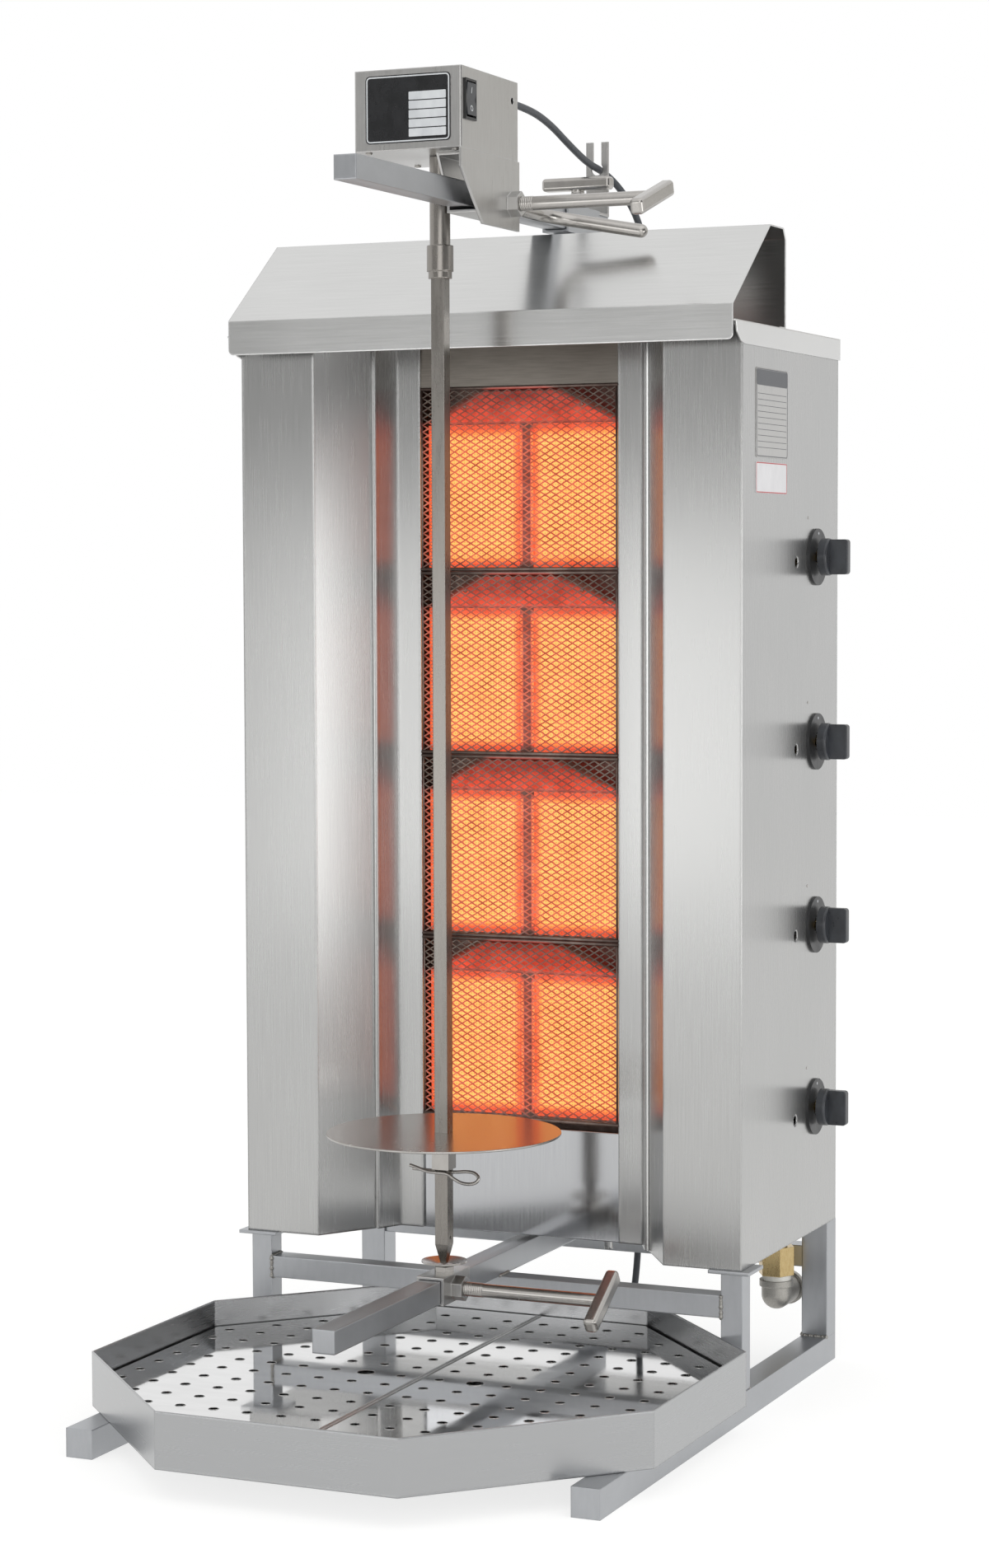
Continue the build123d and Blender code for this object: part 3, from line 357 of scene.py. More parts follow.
def plastic(name, look):
    material, tree, shader = newMaterial(name)
    grain = noise(tree, (look["grain"],) * 3, detail=2)
    scuff = noise(tree, plasticBody["scuff"], detail=4)
    tint(tree, shader, scuff, look, 0.35, 0.7)
    roughen(tree, shader, scuff, look)
    dent(tree, shader, look["bump"], plasticBody["depth"], grain)
    shader.inputs["IOR"].default_value = plasticBody["ior"]
    return material


plastics = {name: plastic(name, look) for name, look in plasticLooks.items()}
print("steels and plastics made")

# hot plaques, and the parts that their light falls on: glow, real in the plaques and painted on the steel
# beside them, follows the place of each burner
burners = {"firstRow": 0.814, "pitch": 0.1685, "rows": 4, "halfHeight": 0.066, "plaqueMiddle": 0.0526,
           "plaqueHalf": 0.046, "holePitch": 0.0026, "shareBelow": 0.415, "hotHalf": 0.0625}


def burnerMiddle(row):
    return burners["firstRow"] - row * burners["pitch"]


def burnerHeight(tree, point):
    # height above the middle of the burner whose guard and brow cover this point
    parts = addNode(tree, "SeparateXYZ", {0: point}).outputs
    turns = calc(tree, "MULTIPLY_ADD", parts["Z"], 1 / burners["pitch"],
                 burners["shareBelow"] - burners["firstRow"] / burners["pitch"] + 8)
    share = calc(tree, "SUBTRACT", calc(tree, "FRACT", turns), burners["shareBelow"])
    return parts, calc(tree, "MULTIPLY", share, burners["pitch"])


# porous ceramic, yellow-hot inside and redder towards its edges, with rows of fine burner holes
plaqueLook = {"dark": "#8C6A58", "light": "#A5836E", "roughness": (0.8, 0.95), "patch": (0.02, 0.02, 0.02),
              "patchShare": 0.25, "edgeBlend": 0.006, "rim": 0.008, "heat": (0.1, 0.84), "holeShade": 0.45,
              "holeEdge": (0.16, 0.3), "strength": 1.15,
              "glow": ((0.0, "#7A1A0C"), (0.3, "#E8441A"), (0.62, "#FF8836"), (1.0, "#FFBC60"))}


def glowingPlaque(look):
    material, tree, shader = newMaterial("hotCeramic")
    point = objectPoint(tree)
    parts, height = burnerHeight(tree, point)
    across = calc(tree, "ABSOLUTE", calc(tree, "SUBTRACT", calc(tree, "ABSOLUTE", parts["X"]),
                                         burners["plaqueMiddle"]))
    sideways = calc(tree, "SUBTRACT", burners["plaqueHalf"], across)
    upright = calc(tree, "SUBTRACT", burners["hotHalf"], calc(tree, "ABSOLUTE", height))
    edge = calc(tree, "SMOOTH_MIN", sideways, upright, look["edgeBlend"])
    patch = noise(tree, look["patch"], detail=3, point=point)
    heat = calc(tree, "MULTIPLY_ADD", patch, look["patchShare"],
                spread(tree, edge, *look["heat"], 0.0, look["rim"]))
    flat = addNode(tree, "CombineXYZ", {"X": parts["X"], "Y": parts["Z"]}).outputs[0]
    dots = addNode(tree, "TexVoronoi", {"Vector": flat, "Scale": 1 / burners["holePitch"], "Randomness": 0.0},
                   voronoi_dimensions="2D").outputs["Distance"]
    hole = spread(tree, dots, look["holeShade"], 1.0, *look["holeEdge"])
    colour = ramp(tree, calc(tree, "MULTIPLY", heat, hole), look["glow"])
    tree.links.new(colour, shader.inputs["Emission Color"])
    tint(tree, shader, patch, look)
    roughen(tree, shader, patch, look)
    shader.inputs["Emission Strength"].default_value = look["strength"]
    return material


# oxidised steel with a painted dull-red glow near the plaques, standing in for their light on it, in a patch
# that tapers above them, and on the two lips between them
# where the painted glow lies: it stands in for the plaques' light falling on the steel
paintedGlowZone = {"taper": 2.0, "side": (0.09, 0.1), "gap": 0.15, "lipInner": (0.0034, 0.0046),
            "lipOuter": (0.0068, 0.0076), "lipEnd": (0.058, 0.064), "frontOnly": (0.1, 0.106),
            "patch": (0.014, 0.014, 0.014), "patchGlow": (0.75, 1.05), "scale": (0.002, 0.002, 0.002),
            "scaleBump": 0.15, "scaleDepth": 0.0002}


def steelWithPaintedGlow(name, look):
    material, tree, shader = newMaterial(name)
    point = objectPoint(tree)
    parts, height = burnerHeight(tree, point)
    across = calc(tree, "ABSOLUTE", parts["X"])
    rise = calc(tree, "MAXIMUM", calc(tree, "SUBTRACT", height, burners["halfHeight"]), 0.0)
    taper = calc(tree, "MULTIPLY_ADD", rise, paintedGlowZone["taper"], across)
    inward = spread(tree, taper, 1.0, 0.0, *paintedGlowZone["side"])
    above = spread(tree, height, 1.0, look["topShare"], *look["fade"])
    below = spread(tree, height, 0.0, 1.0, *look["start"])
    lip = calc(tree, "MULTIPLY", spread(tree, across, paintedGlowZone["gap"], 1.0, *paintedGlowZone["lipInner"]),
               spread(tree, across, 1.0, 0.0, *paintedGlowZone["lipOuter"]))
    ends = spread(tree, calc(tree, "ABSOLUTE", height), look["divider"], 0.0, *paintedGlowZone["lipEnd"])
    middle = calc(tree, "MULTIPLY", lip, ends)
    patch = noise(tree, paintedGlowZone["patch"], detail=3, point=point)
    zone = calc(tree, "MULTIPLY", calc(tree, "MULTIPLY", above, below), inward)
    zone = calc(tree, "MULTIPLY", zone, look["zoneShare"])
    front = spread(tree, parts["Y"], 1.0, 0.0, *paintedGlowZone["frontOnly"])
    # mask of the painted glow, which stands in for the plaques' light on the steel
    warm = calc(tree, "MULTIPLY", calc(tree, "MAXIMUM", zone, middle), front)
    glow = calc(tree, "MULTIPLY", warm, spread(tree, patch, *paintedGlowZone["patchGlow"]))
    rough = noise(tree, paintedGlowZone["scale"], detail=3, point=point)
    tint(tree, shader, patch, look)
    tree.links.new(ramp(tree, glow, look["glow"]), shader.inputs["Emission Color"])
    roughen(tree, shader, rough, look)
    dent(tree, shader, paintedGlowZone["scaleBump"], paintedGlowZone["scaleDepth"], rough)
    shader.inputs["Metallic"].default_value = 1.0
    shader.inputs["Emission Strength"].default_value = look["strength"]
    return material


hotCeramic = glowingPlaque(plaqueLook)
# guard strands: heat-tinted steel, with a painted red glow where the plaques' light falls on them
hotMesh = steelWithPaintedGlow("hotMesh", {
    "dark": "#574D47", "light": "#7E736B", "roughness": (0.38, 0.6), "topShare": 0.2, "fade": (0.058, 0.09),
    "start": (-0.066, -0.056), "divider": 0.0, "zoneShare": 1.0, "strength": 1.0,
    "glow": ((0.0, "#000000"), (0.4, "#6A1A10"), (1.0, "#C8441A"))})
# brows, lips and guard rods: heat-tinted steel, with a painted red glow where the plaques light them from
# below
heatTintedSteel = steelWithPaintedGlow("heatTintedSteel", {
    "dark": "#6E5F59", "light": "#8C7B73", "roughness": (0.38, 0.6), "topShare": 0.45, "fade": (0.066, 0.1),
    "start": (0.0655, 0.069), "divider": 1.0, "zoneShare": 0.72, "strength": 1.0,
    "glow": ((0.0, "#000000"), (0.36, "#8C2018"), (0.72, "#F24A30"), (1.0, "#FF8E3C"))})
print("hot materials made")

slotMaterials = {
    "frame_tube": steels["drawnTube"], "body_sheet": steels["brushedSheet"],
    "hood_sheet": steels["satinSheet"], "mirror_sheet": polishedSheet, "tray_sheet": steels["traySheet"],
    "burner_steel": heatTintedSteel, "plaque": hotCeramic, "guard_mesh": hotMesh,
    "box_sheet": steels["boxSheet"], "turned_steel": steels["turnedSteel"],
    "pipe_steel": steels["pipeSteel"], "brass": steels["brass"], "white_seal": plastics["whiteSeal"],
    "iron": steels["castIron"], "motor_metal": steels["motorMetal"], "black_bezel": plastics["blackBezel"],
    "black_knob": plastics["blackKnob"], "grey_lead": plastics["greyLead"],
}
for node in nodes.values():
    for holder in node.material_slots:
        slotName = holder.material.name.split(".")[0]
        holder.link = "OBJECT"
        holder.material = slotMaterials[slotName]
ownSteel = {"top_panel": "smokedSheet", "lower_panel": "panelSheet", "top_cover": "satinSheet",
            "spit_bar": "spitSteel", "drive_tube": "spitSteel"}
for name, look in ownSteel.items():
    nodes[name].material_slots[0].material = steels[look]
print("CAD nodes dressed")

# mains lead, from the motor box through the fork, down the back and into a tied coil
lead = {"radius": 0.0033, "exit": (0.022, 0.008, 1.158), "forkEnd": (0.022, 0.214, 1.122),
        "coilMiddle": (-0.007, 0.178), "coilRadius": 0.044, "coilPitch": 0.0073, "floor": 0.0034,
        "layer": 0.0073, "plugHeight": 0.0185, "turns": 4.5, "pointsPerTurn": 24, "straight": 0.0066,
        "firstClimb": 2.0, "lastClimb": 4.0, "climbTurn": 0.5}
leadRoute = [
    (0.022, 0.008, 1.158), (0.022, 0.05, 1.158), (0.022, 0.098, 1.151), (0.022, 0.146, 1.1365),
    (0.022, 0.19, 1.125), (0.0226, 0.228, 1.121), (0.03, 0.25, 1.1085), (0.041, 0.267, 1.084),
    (0.047, 0.277, 1.048), (0.0484, 0.2815, 0.985), (0.0496, 0.284, 0.9), (0.0503, 0.2856, 0.812),
    (0.0502, 0.2862, 0.722), (0.0494, 0.2858, 0.632), (0.048, 0.2848, 0.542), (0.0462, 0.2834, 0.452),
    (0.0442, 0.2819, 0.362), (0.0422, 0.2805, 0.272), (0.0404, 0.2794, 0.19), (0.039, 0.278, 0.12),
    (0.038, 0.274, 0.066), (0.0374, 0.258, 0.024), (0.037, 0.22, 0.0034), (0.037, 0.178, 0.0034)]


def coilPoint(turn):
    # spirals in on the floor and out on the layer above, then climbs to the plug
    radius = lead["coilRadius"] - lead["coilPitch"] * min(turn, lead["turns"] - turn)
    toPlug = lead["plugHeight"] - lead["floor"] - lead["layer"]
    lift = 0.0
    for start, rise in ((lead["firstClimb"], lead["layer"]), (lead["lastClimb"], toPlug)):
        share = min(max((turn - start) / lead["climbTurn"], 0), 1)
        lift += rise * share * share * (3 - 2 * share)
    angle = -2 * math.pi * turn
    x, y = lead["coilMiddle"]
    return x + radius * math.cos(angle), y + radius * math.sin(angle), lead["floor"] + lift


def leadPoints():
    steps = int(lead["turns"] * lead["pointsPerTurn"])
    points = leadRoute + [coilPoint(step / lead["pointsPerTurn"]) for step in range(1, steps + 1)]
    last = points[-1]
    return points + [(last[0], last[1] + lead["straight"], last[2])]


def tubeAlong(name, points, radius, material):
    # smooth tube on a NURBS line, with the points that the line gives
    curve = bpy.data.curves.new(name, "CURVE")
    curve.dimensions = "3D"
    spline = curve.splines.new("NURBS")
    spline.points.add(len(points) - 1)
    for place, point in zip(spline.points, points):
        place.co = (*point, 1)
    spline.order_u = 3
    spline.use_endpoint_u = True
    spline.resolution_u = 8
    holder = bpy.data.objects.new(name + "Line", curve)
    scene.collection.objects.link(holder)
    bpy.context.view_layer.update()
    line = bpy.data.meshes.new_from_object(holder)
    path = [tuple(vert.co) for vert in line.vertices]
    curve.bevel_depth = radius
    curve.bevel_resolution = 4
    curve.use_fill_caps = True
    bpy.context.view_layer.update()
    tube = bpy.data.meshes.new_from_object(holder.evaluated_get(bpy.context.evaluated_depsgraph_get()))
    bpy.data.objects.remove(holder)
    bpy.data.meshes.remove(line)
    return newPiece(name, tube, material, smooth=True), path


mainsLead, leadPath = tubeAlong("mainsLead", leadPoints(), lead["radius"], plastics["greyLead"])
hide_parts("mains_cord", "cord_coil")
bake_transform(mainsLead)

# tie round the coil, on the side away from the plug
tie = {"angle": 40, "width": 0.007, "thickness": 0.0009, "inner": 0.0255, "outer": 0.0476, "top": 0.0143,
       "corner": 0.0035, "lowest": 0.00002}


def makeTie():
    bm = bmesh.new()
    angle = math.radians(tie["angle"])
    out = Vector((math.cos(angle), math.sin(angle), 0))
    along = Vector((-math.sin(angle), math.cos(angle), 0))
    middle = Vector((*lead["coilMiddle"], 0))
    outline = roundedOutline(tie["outer"] - tie["inner"], tie["top"], tie["corner"], steps=4)
    rings = []
    for side in (-1, 1):
        for grow in (0, tie["thickness"]):
            ring = []
            for x, y in outline:
                factor = 1 + 2 * grow / (tie["outer"] - tie["inner"])
                height = max((y + tie["top"] / 2) * (1 + grow / tie["top"]), tie["lowest"])
                ring.append(bm.verts.new(middle + out * ((tie["inner"] + tie["outer"]) / 2 + x * factor)
                                         + along * (side * tie["width"] / 2) + Vector((0, 0, height))))
            rings.append(ring)
    for a, b in ((0, 1), (2, 3), (0, 2), (1, 3)):
        stitch(bm, rings[a], rings[b])
    return newPiece("coilTie", bm, plastics["blackBezel"])


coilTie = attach(makeTie(), "stand")
print("lead and tie made")


# repeats: one node tree places a small shape on points
def makeScatterTree():
    tree = bpy.data.node_groups.new("scatter", "GeometryNodeTree")
    face = tree.interface
    face.new_socket("Geometry", in_out="INPUT", socket_type="NodeSocketGeometry")
    shape = face.new_socket("Shape", in_out="INPUT", socket_type="NodeSocketObject")
    coat = face.new_socket("Material", in_out="INPUT", socket_type="NodeSocketMaterial")
    vary = face.new_socket("Size spread", in_out="INPUT", socket_type="NodeSocketFloat")
    seed = face.new_socket("Seed", in_out="INPUT", socket_type="NodeSocketInt")
    face.new_socket("Geometry", in_out="OUTPUT", socket_type="NodeSocketGeometry")
    start = tree.nodes.new("NodeGroupInput")
    end = tree.nodes.new("NodeGroupOutput")
    info = tree.nodes.new("GeometryNodeObjectInfo")
    turn = tree.nodes.new("GeometryNodeInputNamedAttribute")
    turn.data_type = "FLOAT_VECTOR"
    turn.inputs["Name"].default_value = "turn"
    euler = tree.nodes.new("FunctionNodeEulerToRotation")
    rand = tree.nodes.new("FunctionNodeRandomValue")
    rand.data_type = "FLOAT"
    low = addNode(tree, "Math", {0: 1.0}, operation="SUBTRACT")
    high = addNode(tree, "Math", {0: 1.0}, operation="ADD")
    place = tree.nodes.new("GeometryNodeInstanceOnPoints")
    real = tree.nodes.new("GeometryNodeRealizeInstances")
    dress = tree.nodes.new("GeometryNodeSetMaterial")
    link = tree.links.new
    link(start.outputs["Shape"], info.inputs["Object"])
    link(start.outputs["Size spread"], low.inputs[1])
    link(start.outputs["Size spread"], high.inputs[1])
    floats = [socket for socket in rand.inputs if socket.name in ("Min", "Max") and socket.type == "VALUE"]
    link(low.outputs[0], floats[0])
    link(high.outputs[0], floats[1])
    link(start.outputs["Seed"], rand.inputs["Seed"])
    link(turn.outputs["Attribute"], euler.inputs[0])
    link(start.outputs["Geometry"], place.inputs["Points"])
    link(info.outputs["Geometry"], place.inputs["Instance"])
    link(euler.outputs[0], place.inputs["Rotation"])
    link([socket for socket in rand.outputs if socket.type == "VALUE"][0], place.inputs["Scale"])
    link(place.outputs[0], real.inputs[0])
    link(real.outputs[0], dress.inputs["Geometry"])
    link(start.outputs["Material"], dress.inputs["Material"])
    link(dress.outputs[0], end.inputs[0])
    return tree, {"shape": shape.identifier, "material": coat.identifier, "vary": vary.identifier,
                  "seed": seed.identifier}


scatterTree, scatterInputs = makeScatterTree()


def scatter(name, shape, places, material, vary=0.0, seed=1, smooth=False):
    # shape is a bmesh about the origin, places are (point, Euler turn)
    unit = newPiece(name + "Unit", shape)
    points = bpy.data.meshes.new(name)
    points.from_pydata([point for point, turn in places], [], [])
    attribute = points.attributes.new("turn", "FLOAT_VECTOR", "POINT")
    attribute.data.foreach_set("vector", [value for point, turn in places for value in turn])
    holder = bpy.data.objects.new(name + "Points", points)
    scene.collection.objects.link(holder)
    modifier = holder.modifiers.new("scatter", "NODES")
    modifier.node_group = scatterTree
    modifier[scatterInputs["shape"]] = unit
    modifier[scatterInputs["material"]] = material
    modifier[scatterInputs["vary"]] = vary
    modifier[scatterInputs["seed"]] = seed
    bpy.context.view_layer.update()
    made = bpy.data.meshes.new_from_object(holder.evaluated_get(bpy.context.evaluated_depsgraph_get()))
    holder.modifiers.remove(modifier)
    bpy.data.objects.remove(holder)
    bpy.data.objects.remove(unit)
    return newPiece(name, made, material, smooth)


def facing(direction):
    # turn that points a shape's +Z along a direction
    return tuple(Vector(direction).to_track_quat("Z", "Y").to_matrix().to_euler())


# expanded-metal guards: each cell is four strands that cross in a flat bond
guard = {"cellWidth": 0.0106, "cellHeight": 0.0062, "columns": 18, "plane": 0.076, "above": 0.0984,
         "below": 0.0666, "strandWide": 0.00098, "strandDeep": 0.0012, "bondWide": 1.25, "lean": 0.0005,
         "bondLean": 0.2, "wire": 0.0016, "half": 0.0975, "sideInset": 0.0012, "sideWire": 0.0011}


def strandCell():
    bm = bmesh.new()
    corner = Vector((guard["cellWidth"] / 2, 0, guard["cellHeight"] / 2))
    for sx in (-1, 1):
        for sz in (-1, 1):
            end = Vector((sx * corner.x, 0, sz * corner.z))
            side = Vector((-end.z, 0, end.x)).normalized() * guard["strandWide"] / 2
            lean = Vector((0, sz * guard["lean"], 0))
            deep = Vector((0, guard["strandDeep"] / 2, 0))
            section = [(a * side, b * deep) for a, b in ((1, 1), (1, -1), (-1, -1), (-1, 1))]
            near = [bm.verts.new(lean * guard["bondLean"] + across * guard["bondWide"] + through)
                    for across, through in section]
            far = [bm.verts.new(end + lean + across + through) for across, through in section]
            stitch(bm, near, far)
            bm.faces.new(near)
            bm.faces.new(far)
    return bm


def guardSpans():
    # bottom and top of each guard
    middles = [burnerMiddle(row) for row in range(burners["rows"])]
    return [(middle - guard["below"], middle + guard["above"]) for middle in middles]


def guardPlaces():
    places = []
    for low, high in guardSpans():
        count = int((high - low) / guard["cellHeight"])
        start = (low + high) / 2 - (count - 1) / 2 * guard["cellHeight"]
        for step in range(count):
            for column in range(guard["columns"]):
                x = (column - (guard["columns"] - 1) / 2) * guard["cellWidth"]
                places.append(((x, guard["plane"], start + step * guard["cellHeight"]), (0, 0, 0)))
    return places


guardNet = scatter("guardNet", strandCell(), guardPlaces(), hotMesh)
rods = bmesh.new()
for low, high in guardSpans():
    for height in (low, high):
        addRod(rods, (-guard["half"], guard["plane"], height), (guard["half"], guard["plane"], height),
               guard["wire"], sides=12)
    for side in (-1, 1):
        x = side * (guard["half"] - guard["sideInset"])
        addRod(rods, (x, guard["plane"], low), (x, guard["plane"], high), guard["sideWire"], sides=8)
guardRods = newPiece("guardRods", rods, heatTintedSteel, smooth=True)
for piece in (guardNet, guardRods):
    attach(piece, "stand")
    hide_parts("mesh_guards")
print("guards made")

# screws and rivets: a low domed head, its profile given as shares of radius and height
panProfile = {"sides": 12, "rings": ((1.0, 0.0), (1.0, 0.45), (0.82, 0.85), (0.45, 1.0))}
fixings = {
    "backPanelScrews": {"body": "stand", "radius": 0.0032, "height": 0.0016, "facing": (0, 1, 0), "points":
                        [(x, 0.2642, z) for x in (-0.228, 0.228) for z in (0.15, 0.34, 0.53, 0.72, 0.9)]
                        + [(x, 0.2642, z) for x in (-0.12, 0.12) for z in (0.15, 0.9)]},
    "sideRivets": {"body": "stand", "radius": 0.0013, "height": 0.0005, "facing": (1, 0, 0),
                   "points": [(0.243, 0.178, z) for z in (0.793, 0.625, 0.457, 0.289)]},
    "browScrews": {"body": "stand", "radius": 0.0022, "height": 0.0012, "facing": (0, -0.86, -0.52),
                   "points": [(x, 0.0868, burnerMiddle(row) + 0.0822) for row in range(burners["rows"])
                              for x in (-0.058, 0.058)]},
    "motorBaseScrews": {"body": "carriage", "radius": 0.003, "height": 0.0016, "facing": (0, 0, -1),
                        "points": [(x, y, 1.101) for x in (-0.045, 0.036) for y in (-0.138, -0.04)]},
}


def panHead(radius, height):
    # seat at Z = 0
    bm = bmesh.new()
    sides = panProfile["sides"]
    rings = [[bm.verts.new(circlePoint(radius * wide, i, sides, height * high)) for i in range(sides)]
             for wide, high in panProfile["rings"]]
    for lower, upper in zip(rings, rings[1:]):
        stitch(bm, lower, upper)
    bm.faces.new(rings[-1])
    bm.faces.new(rings[0][::-1])
    return bm


for name, spec in fixings.items():
    turn = facing(spec["facing"])
    piece = scatter(name, panHead(spec["radius"], spec["height"]),
                    [(point, turn) for point in spec["points"]], steels["turnedSteel"])
    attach(piece, spec["body"])
print("fixings made")

# weld beads along the tube joints; those in pairs are for the right side and are repeated on the left
weld = {"step": 0.0017, "radius": 0.0019, "flat": 0.8, "spread": 0.25, "seed": 7, "pairs": [
    # front rail to upright
    ((0.222, 0.006, 0.091), (0.222, 0.006, 0.109)), ((0.222, 0.026, 0.091), (0.222, 0.026, 0.109)),
    ((0.222, 0.007, 0.09), (0.222, 0.025, 0.09)), ((0.222, 0.007, 0.11), (0.222, 0.025, 0.11)),
    # uprights to runner
    ((0.223, 0.006, 0.025), (0.241, 0.006, 0.025)), ((0.223, 0.026, 0.025), (0.241, 0.026, 0.025)),
    ((0.222, 0.007, 0.025), (0.222, 0.025, 0.025)), ((0.218, 0.24, 0.026), (0.218, 0.264, 0.026)),
    ((0.219, 0.24, 0.025), (0.242, 0.24, 0.025))], "single": [
    # lower arm to rail
    ((-0.01, 0.007, 0.11), (-0.01, 0.025, 0.11)), ((0.01, 0.007, 0.11), (0.01, 0.025, 0.11)),
    # mast to its foot
    ((0.0105, 0.138, 0.9635), (0.0335, 0.138, 0.9635)), ((0.0105, 0.163, 0.9635), (0.0335, 0.163, 0.9635)),
    ((0.0095, 0.139, 0.9635), (0.0095, 0.162, 0.9635)), ((0.0345, 0.139, 0.9635), (0.0345, 0.162, 0.9635))]}


def weldPlaces():
    lines = [[Vector((side * x, y, z)) for x, y, z in pair] for side in (-1, 1) for pair in weld["pairs"]]
    lines += [[Vector(point) for point in line] for line in weld["single"]]
    places = []
    for start, end in lines:
        count = max(2, int(math.dist(start, end) / weld["step"]))
        turn = facing(end - start)
        for i in range(count + 1):
            places.append((tuple(start.lerp(end, i / count)), turn))
    return places


bead = bmesh.new()
bmesh.ops.create_uvsphere(bead, u_segments=7, v_segments=5, radius=weld["radius"],
                          matrix=Matrix.Diagonal((1, 1, weld["flat"], 1)))
weldBeads = scatter("weldBeads", bead, weldPlaces(), steels["pipeSteel"], weld["spread"], weld["seed"],
                    smooth=True)
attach(weldBeads, "stand")
print("welds made")

# rolled threads beside the nuts of the T-handle screws: start, direction and length of each
threads = {"pitch": 0.00175, "core": 0.00602, "ridge": 0.0004, "sides": 28, "steps": 8, "runOut": 0.002,
           "leadIn": 0.0004, "firstRidge": 0.2, "places": {
               "carriage_screw": ((0.0562, -0.044, 1.063), (1, 0, 0), 0.012),
               "lower_screw": ((0.0231, -0.097, 0.12), (1, 0, 0), 0.018),
               "rear_screw": ((0.022, 0.166, 1.09), (0, 0, 1), 0.0066)}}


def threadMesh(start, way, length):
    bm = bmesh.new()
    basis = Vector(way).to_track_quat("Z", "Y").to_matrix()
    sides = threads["sides"]
    rows = int(length / threads["pitch"] * threads["steps"])
    rings = []
    for row in range(rows + 1):
        along = row / rows * length
        fade = min(1, (length - along) / threads["runOut"], along / threads["leadIn"] + threads["firstRidge"])
        ring = []
        for i in range(sides):
            phase = (along / threads["pitch"] - i / sides) % 1
            radius = threads["core"] + threads["ridge"] * fade * (1 - abs(2 * phase - 1))
            ring.append(bm.verts.new(Vector(start) + basis @ circlePoint(radius, i, sides, along)))
        rings.append(ring)
    for lower, upper in zip(rings, rings[1:]):
        stitch(bm, lower, upper)
    bm.faces.new(rings[0])
    bm.faces.new(rings[-1])
    return bm


for body, place in threads["places"].items():
    thread = newPiece(body + "_thread", threadMesh(*place), steels["turnedSteel"])
    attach(thread, body)
print("threads made")

# drain plates: a pressed lip round each hole, and a folded edge along the seam between the two plates
drain = {"top": 0.049, "firstX": 0.0182, "pitchX": 0.03165, "pitchY": 0.0329, "finger": (0.052, -0.143),
         "fingerRadius": 0.0075, "holeRadius": 0.0039, "half": 0.2605, "front": -0.416, "back": 0.124,
         "edgeHalf": 0.108, "sideFront": -0.256, "margin": 0.014, "bridge": 0.004, "rowsEachWay": 9,
         "columns": 8, "lipWide": 0.0009, "lipCrest": 0.35, "lipHigh": 0.0004, "lipSides": 14,
         "seam": (0.0005, 0.0024), "seamEnds": (-0.4115, 0.1195), "seamHigh": 0.0009, "seamRound": 0.0003}


def drainHoles():
    # the same grid as the solid plate's holes, for the right plate
    slope = (drain["sideFront"] - drain["front"]) / (drain["half"] - drain["edgeHalf"])
    middle = (drain["front"] + drain["back"]) / 2
    reach = drain["fingerRadius"] + drain["holeRadius"] + drain["bridge"]
    holes = []
    for row in range(-drain["rowsEachWay"], drain["rowsEachWay"] + 1):
        y = drain["finger"][1] + row * drain["pitchY"]
        for step in range(drain["columns"]):
            x = drain["firstX"] + step * drain["pitchX"]
            corner = abs(y - middle) - (middle - drain["front"]) + drain["margin"]
            corner += slope * max(0, x - drain["edgeHalf"])
            clear = math.dist((x, y), drain["finger"]) >= reach
            if x < drain["half"] - drain["margin"] and corner < 0 and clear:
                holes.append((x, y))
    return holes


def addLip(bm, radius, place=(0, 0, 0)):
    wide, sides = drain["lipWide"], drain["lipSides"]
    section = [(radius, 0.0), (radius + wide * drain["lipCrest"], drain["lipHigh"]), (radius + wide, 0.0)]
    rings = [[bm.verts.new(Vector(place) + circlePoint(r, i, sides, z)) for i in range(sides)]
             for r, z in section]
    for inner, outer in ((0, 1), (1, 2), (2, 0)):
        stitch(bm, rings[inner], rings[outer])


for side, body in ((-1, "plate_left"), (1, "plate_right")):
    lip = bmesh.new()
    addLip(lip, drain["holeRadius"])
    places = [((side * x, y, drain["top"]), (0, 0, 0)) for x, y in drainHoles()]
    lips = scatter(body + "_lips", lip, places, steels["satinSheet"])
    edges = bmesh.new()
    low, high = sorted(side * x for x in drain["seam"])
    addBox(edges, (low, drain["seamEnds"][0], drain["top"]),
           (high, drain["seamEnds"][1], drain["top"] + drain["seamHigh"]), drain["seamRound"])
    addLip(edges, drain["fingerRadius"], (side * drain["finger"][0], drain["finger"][1], drain["top"]))
    edge = newPiece(body + "_edge", edges, steels["satinSheet"])
    for piece in (lips, edge):
        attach(piece, body)
print("drain plates dressed:", len(drainHoles()), "holes each")

# folded hems that close the joint between reflector and burner strip
hem = {"section": ((0.134, 0.0512), (0.1364, 0.0519), (0.134, 0.0558)), "low": 0.134, "high": 0.958}
bm = bmesh.new()
for side in (-1, 1):
    ends = [[bm.verts.new((side * x, y, z)) for x, y in hem["section"]] for z in (hem["low"], hem["high"])]
    stitch(bm, *ends)
    for end in ends:
        bm.faces.new(end)
stripHems = newPiece("stripHems", bm, steels["satinSheet"])
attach(stripHems, "stand")

